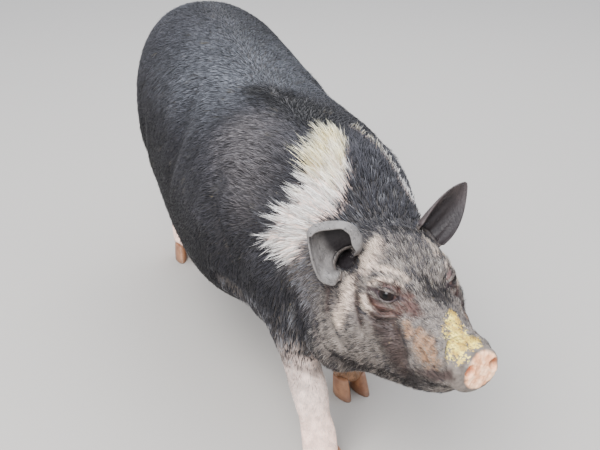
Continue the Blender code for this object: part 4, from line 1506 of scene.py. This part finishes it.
MARKINGS = markings_group()
print("the markings group has", len(MARKINGS.nodes), "nodes")

# %% [markdown]
# ## Finishes of coat and skin
#
# A bristle is a horny rod: fairly rough along its length, with a sheen where light grazes it.
# Skin is leathery, finely pitted and creased, and moist only on the disc of the snout.


# %% Materials of coat and skin
def new_material(name, roughness, specular=0.5):
    material = bpy.data.materials.new(name)
    material.use_nodes = True
    tree = material.node_tree
    surface = tree.nodes["Principled BSDF"]
    surface.inputs["Roughness"].default_value = roughness
    surface.inputs["Specular IOR Level"].default_value = specular
    return material, tree, surface.inputs


def own(tree, label):
    """What the mesh carries under this name."""
    return add(tree, "ShaderNodeAttribute", attribute_name=label).outputs["Fac"]


def place_in(tree):
    return add(tree, "ShaderNodeTexCoord").outputs["Object"]


def emboss(tree, surface, relief, strength, distance):
    feeds = {"Height": relief, "Strength": strength, "Distance": distance}
    feed(tree, add(tree, "ShaderNodeBump", feeds).outputs["Normal"], surface["Normal"])


def marked(tree, where, luck):
    """The markings group's outputs, from the masks that the mesh carries."""
    feeds = {name: own(tree, name) for name in MASKS}
    feeds |= {"luck": luck, "place": where}
    return add(tree, "ShaderNodeGroup", feeds, node_tree=MARKINGS).outputs


def coat_material():
    material, tree, surface = new_material("bristle", 0.52, 0.14)
    luck = own(tree, "luck")
    shades = marked(tree, place_in(tree), luck)
    shade = mix(tree, step(tree, own(tree, "tip"), 0.10, 0.85), shades["root"], shades["tip"])
    vary = maths(tree, "FRACT", maths(tree, "MULTIPLY", luck, 17.0))
    shade = mix(tree, 1.0, shade, step(tree, vary, 0, 1, 0.66, 1.30), "MULTIPLY")
    feed(tree, shade, surface["Base Color"])
    return material


EAR_NEAR, EAR_FAR = colour(102, 98, 96), colour(60, 52, 51)
SKIN_PLACES = {
    # over the hide where the mesh says so: how much, the colour
    # the ears' cups and funnels: partly dark skin, partly painted shade
    "cup_dark_and_shade": (1, colour(24, 20, 22)),
    # round the eyes: partly dark lids and lashes, partly painted shade
    "socket": (1, colour(42, 32, 34)),
    "nostril": (0.8, colour(158, 92, 80)),
}
DRY, WET = 0.52, 0.27  # roughness


def skin_material():
    material, tree, surface = new_material("pig skin", DRY, 0.30)
    where = place_in(tree)
    grain = step(tree, noise(tree, where, 420.0, 2.0), 0.30, 0.70)
    mottled = step(tree, noise(tree, where, 60.0, 5.0, 0.7), 0.35, 0.65, 0.76, 1.20)
    ears = mix(tree, own(tree, "far"), EAR_NEAR, EAR_FAR)
    ears = mix(tree, 1.0, ears, mottled, "MULTIPLY")
    hide = mix(tree, own(tree, "ear"), marked(tree, where, grain)["skin"], ears)
    for label, (part, shade) in SKIN_PLACES.items():
        hide = mix(tree, maths(tree, "MULTIPLY", own(tree, label), part), hide, shade)
    feed(tree, hide, surface["Base Color"])
    wet = maths(tree, "MULTIPLY", own(tree, "pink"), own(tree, "face"))
    feed(tree, step(tree, wet, 0.3, 0.9, DRY, WET), surface["Roughness"])
    pores = add(tree, "ShaderNodeTexVoronoi", {"Vector": where, "Scale": 420}, feature="SMOOTH_F1")
    pitted = maths(tree, "MULTIPLY", pores.outputs["Distance"], 0.7)
    relief = maths(tree, "ADD", pitted, noise(tree, where, 160.0, 5.0, 0.6))
    emboss(tree, surface, relief, 0.5, 0.0012)
    return material


BRISTLE, HIDE = coat_material(), skin_material()
skin_mesh.materials.clear()
skin_mesh.materials.append(HIDE)
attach(skin, "root")
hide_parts(*FLESH, "ear_right", "ear_left")
print("skin and bristle finished")


# %% Growing the coat, patch by patch
def grow(name, rows, segments):
    """A patch of coat on these roots, as a plain mesh."""
    mesh = bpy.data.meshes.new(name + "_roots")
    mesh.vertices.add(len(rows))
    place(mesh, roots[rows])
    on_unwrap = np.column_stack([roots_flat, np.zeros(len(roots))])
    for label, ways in {"way": way, "out": roots_out, "bend": bend, "bake": on_unwrap}.items():
        store(mesh, label, ways[rows], VECTOR)
    for label, values in {"width": width, "length": length, "luck": luck, **root_masks}.items():
        store(mesh, label, values[rows])
    seedbed = link(name + "_roots", mesh)
    grower = seedbed.modifiers.new("bristles", "NODES")
    grower.node_group = BRISTLES
    grower[BRISTLE_INPUTS["Segments"]] = segments
    grower[BRISTLE_INPUTS["Finish"]] = BRISTLE
    coat = settled(seedbed)
    for label in ("way", "out", "bend", "bake", "width", "length", "spot"):
        if label in coat.attributes:
            coat.attributes.remove(coat.attributes[label])
    piece = link(name, coat)
    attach(piece, "root")
    return piece


PARTING = 0.005  # between the patches of the right and of the left
ALONG_BODY = {
    # from where to where, ahead in the model's frame
    "rump": (-math.inf, -0.28),
    "loin": (-0.28, -0.13),
    "barrel": (-0.13, 0.02),
    "shoulder": (0.02, 0.15),
    "neck": (0.15, math.inf),
}
FACE_STARTS = 0.06  # ahead in the head's frame; behind it is the cheek
LEG_TOP, FORELEG_STARTS, HINDLEG_ENDS = 0.17, 0.05, -0.22


def patches():
    """A name, its roots and its bristles' segments for each patch, small enough for one piece."""
    ahead = to_head(roots)[:, 0]
    x, y, z = roots.T
    on_head = root_masks["face"] > 0.5
    leg = (z < LEG_TOP) & ((x > FORELEG_STARTS) | (x < HINDLEG_ENDS)) & ~on_head
    body = ~on_head & ~leg
    for label, here in {"right": y < PARTING, "left": y >= PARTING}.items():
        for name, (back, front) in ALONG_BODY.items():
            segments = 3 if name == "neck" else 2
            yield f"coat_{name}_{label}", body & here & (x >= back) & (x < front), segments
        yield "coat_legs_" + label, leg & here, 2
        yield "coat_face_" + label, on_head & here & (ahead >= FACE_STARTS), 2
        yield "coat_cheek_" + label, on_head & here & (ahead < FACE_STARTS), 2


total = 0
for name, chosen, segments in patches():
    piece = grow(name, np.flatnonzero(chosen), segments)
    count = sum(len(p.vertices) - 2 for p in piece.data.polygons)
    total += count
    print(name, int(chosen.sum()), "bristles,", count, "triangles")
print("the coat has", total, "triangles in all")

# %% [markdown]
# ## Eyes
#
# A pig's eye is dark brown with hardly any white showing, under a clear, wet cornea that stands a
# little proud of the ball. The ball is one smooth sphere with that bulge; iris, pupil and the
# brownish rim are rings round its gaze, which each point carries as its angle from it.

# %% Eyeballs
CORNEA_RISE, CORNEA_ANGLE, CORNEA_TOP = 0.0007, 34, 8  # metres, degrees from the gaze
IRIS_ANGLE, PUPIL_ANGLE = 33, 14
EYE_RINGS = (
    # from and to how many degrees from the gaze it begins, its colour
    (IRIS_ANGLE, IRIS_ANGLE + 5, colour(30, 24, 26)),
    (IRIS_ANGLE + 12, IRIS_ANGLE + 30, colour(96, 76, 72)),
)


def eye_material():
    material, tree, surface = new_material("eye", 0.16, 0.2)
    angle = own(tree, "from_gaze")
    rays = noise(tree, place_in(tree), 700.0, 4.0, 0.7)
    iris = mix(tree, step(tree, rays, 0.35, 0.7), colour(14, 10, 10), colour(30, 20, 16))
    shade = mix(tree, step(tree, angle, PUPIL_ANGLE, PUPIL_ANGLE + 3), colour(4, 4, 5), iris)
    for start, end, ring in EYE_RINGS:
        shade = mix(tree, step(tree, angle, start, end), shade, ring)
    feed(tree, shade, surface["Base Color"])
    return material


EYE = eye_material()
for name, side in SIDES.items():
    work = bmesh.new()
    bmesh.ops.create_icosphere(work, subdivisions=5, radius=1.0)
    mesh = bpy.data.meshes.new("eyeball_" + name)
    work.to_mesh(mesh)
    work.free()
    centre, gaze, _, _ = eye_frame(side)
    ball = unit(coordinates(mesh))
    angle = np.degrees(np.arccos(np.clip(ball @ gaze, -1, 1)))
    radius = EYE_RADIUS + CORNEA_RISE * fall(angle, CORNEA_TOP, CORNEA_ANGLE)
    place(mesh, from_head(centre + ball * radius[:, None]))
    mesh.shade_smooth()
    store(mesh, "from_gaze", angle)
    mesh.materials.append(EYE)
    piece = link("eyeball_" + name, mesh)
    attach(piece, "root")
    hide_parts("eye_" + name)
print("two eyeballs, gaze", [round(float(g), 2) for g in GAZE])

# %% [markdown]
# ## Claws and dewclaws
#
# Trotters end in two claws, with two small dewclaws behind: caps of horn that grow down from the
# coronet in fine rings, a little chipped and rubbed paler at the edge. Each solid is remeshed on a fine
# grid and smoothed, which rounds it as wear does, and its sole is laid flat again on the floor.


# %% Horn
def horn_material():
    material, tree, surface = new_material("horn", 0.42)
    where = place_in(tree)
    height = add(tree, "ShaderNodeSeparateXYZ", {0: where}).outputs["Z"]
    patched = step(tree, noise(tree, where, 60.0, 4.0), 0.35, 0.65)
    streaks = step(tree, noise(tree, where, 240.0, 5.0, 0.7), 0.55, 0.75, 0, 0.45)
    edge = step(tree, height, 0.002, 0.012, 0.75, 0)
    horn = mix(tree, patched, colour(126, 86, 63), colour(160, 116, 86))
    horn = mix(tree, edge, horn, colour(118, 88, 70))
    horn = mix(tree, streaks, horn, colour(84, 64, 54))
    feed(tree, horn, surface["Base Color"])
    feeds = {"Vector": where, "Scale": 95, "Distortion": 2.5, "Detail Scale": 1.5}
    rings = add(tree, "ShaderNodeTexWave", feeds, bands_direction="Z", wave_profile="SIN")
    emboss(tree, surface, rings.outputs["Fac"], 0.35, 0.0006)
    return material


HORN = horn_material()
CLAW_GRID, DEWCLAW_GRID = 0.0013, 0.0009
HORN_GROWN = 0.0004
SOLE = 0.0012  # lower than this a point is on the sole
for node in sorted(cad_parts):
    if "claw" not in node:
        continue
    small = node.startswith("dewclaw")
    grown = grown_copies([node], HORN_GROWN)
    mesh = bpy.data.meshes.new("horn_" + node)
    grown.to_mesh(mesh)
    grown.free()
    rough = link("horn_" + node, mesh)
    remesh = rough.modifiers.new("grid", "REMESH")
    remesh.mode = "VOXEL"
    remesh.voxel_size = DEWCLAW_GRID if small else CLAW_GRID
    mesh = settled(rough)
    shape = coordinates(mesh)
    sole = shape[:, 2] < SOLE
    shape = smoothed(shape, edges_of(mesh), np.where(sole, 0.25, 0.5), 9)
    if not small:
        shape[sole, 2] = 0.0
    place(mesh, shape)
    mesh.shade_smooth()
    mesh.materials.clear()
    mesh.materials.append(HORN)
    piece = link("horn_" + node, mesh)
    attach(piece, "root")
    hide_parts(node)
    print(node, len(mesh.polygons), "faces")

# %% [markdown]
# ## Floor and light
#
# The model stands on a plain pale floor, under the even light of an overcast sky: a bright, faintly
# blue dome, with one broad lamp above in front and one behind that bring out the lie of the coat.

# %% Floor, sky and lamps
FLOOR_HALF = 4.0
SKY_LOW, SKY_HIGH = colour(176, 174, 172), colour(232, 241, 255)
SKY_STRENGTH = 2.28
LAMPS = {
    # place, power in watts, size in metres
    "key": ((1.6, -1.3, 2.4), 200, 1.8),
    "back": ((-1.4, 0.8, 2.4), 40, 1.6),
}
LAMPS_AIM_AT = Vector((0.10, 0, 0.25))

floor_mesh = bpy.data.meshes.new("floor")
turns = ((-1, -1), (1, -1), (1, 1), (-1, 1))
floor_mesh.from_pydata([(FLOOR_HALF * x, FLOOR_HALF * y, 0) for x, y in turns], [], [(0, 1, 2, 3)])
floor_material, _, floor_surface = new_material("studio floor", 0.8)
floor_surface["Base Color"].default_value = colour(168, 163, 157)
floor_mesh.materials.append(floor_material)
link("floor", floor_mesh)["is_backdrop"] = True

world = bpy.data.worlds.new("sky")
world.use_nodes = True
sky_tree = world.node_tree
sky = sky_tree.nodes["Background"].inputs
looking = add(sky_tree, "ShaderNodeTexCoord").outputs["Generated"]
height = add(sky_tree, "ShaderNodeSeparateXYZ", {0: looking}).outputs["Z"]
feed(sky_tree, mix(sky_tree, step(sky_tree, height, 0.0, 0.9), SKY_LOW, SKY_HIGH), sky["Color"])
sky["Strength"].default_value = SKY_STRENGTH
bpy.context.scene.world = world

for name, (where, watts, size) in LAMPS.items():
    lamp = bpy.data.lights.new(name, "AREA")
    lamp.energy = watts
    lamp.size = size
    hung = bpy.data.objects.new(name, lamp)
    hung.location = where
    hung.rotation_euler = (LAMPS_AIM_AT - Vector(where)).to_track_quat("-Z", "Y").to_euler()
    bpy.context.scene.collection.objects.link(hung)
print("floor, sky and", len(LAMPS), "lamps")

# %% The size of the finished model, and the end
low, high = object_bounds()
print("dressed model from", [round(x, 3) for x in low], "to", [round(x, 3) for x in high])
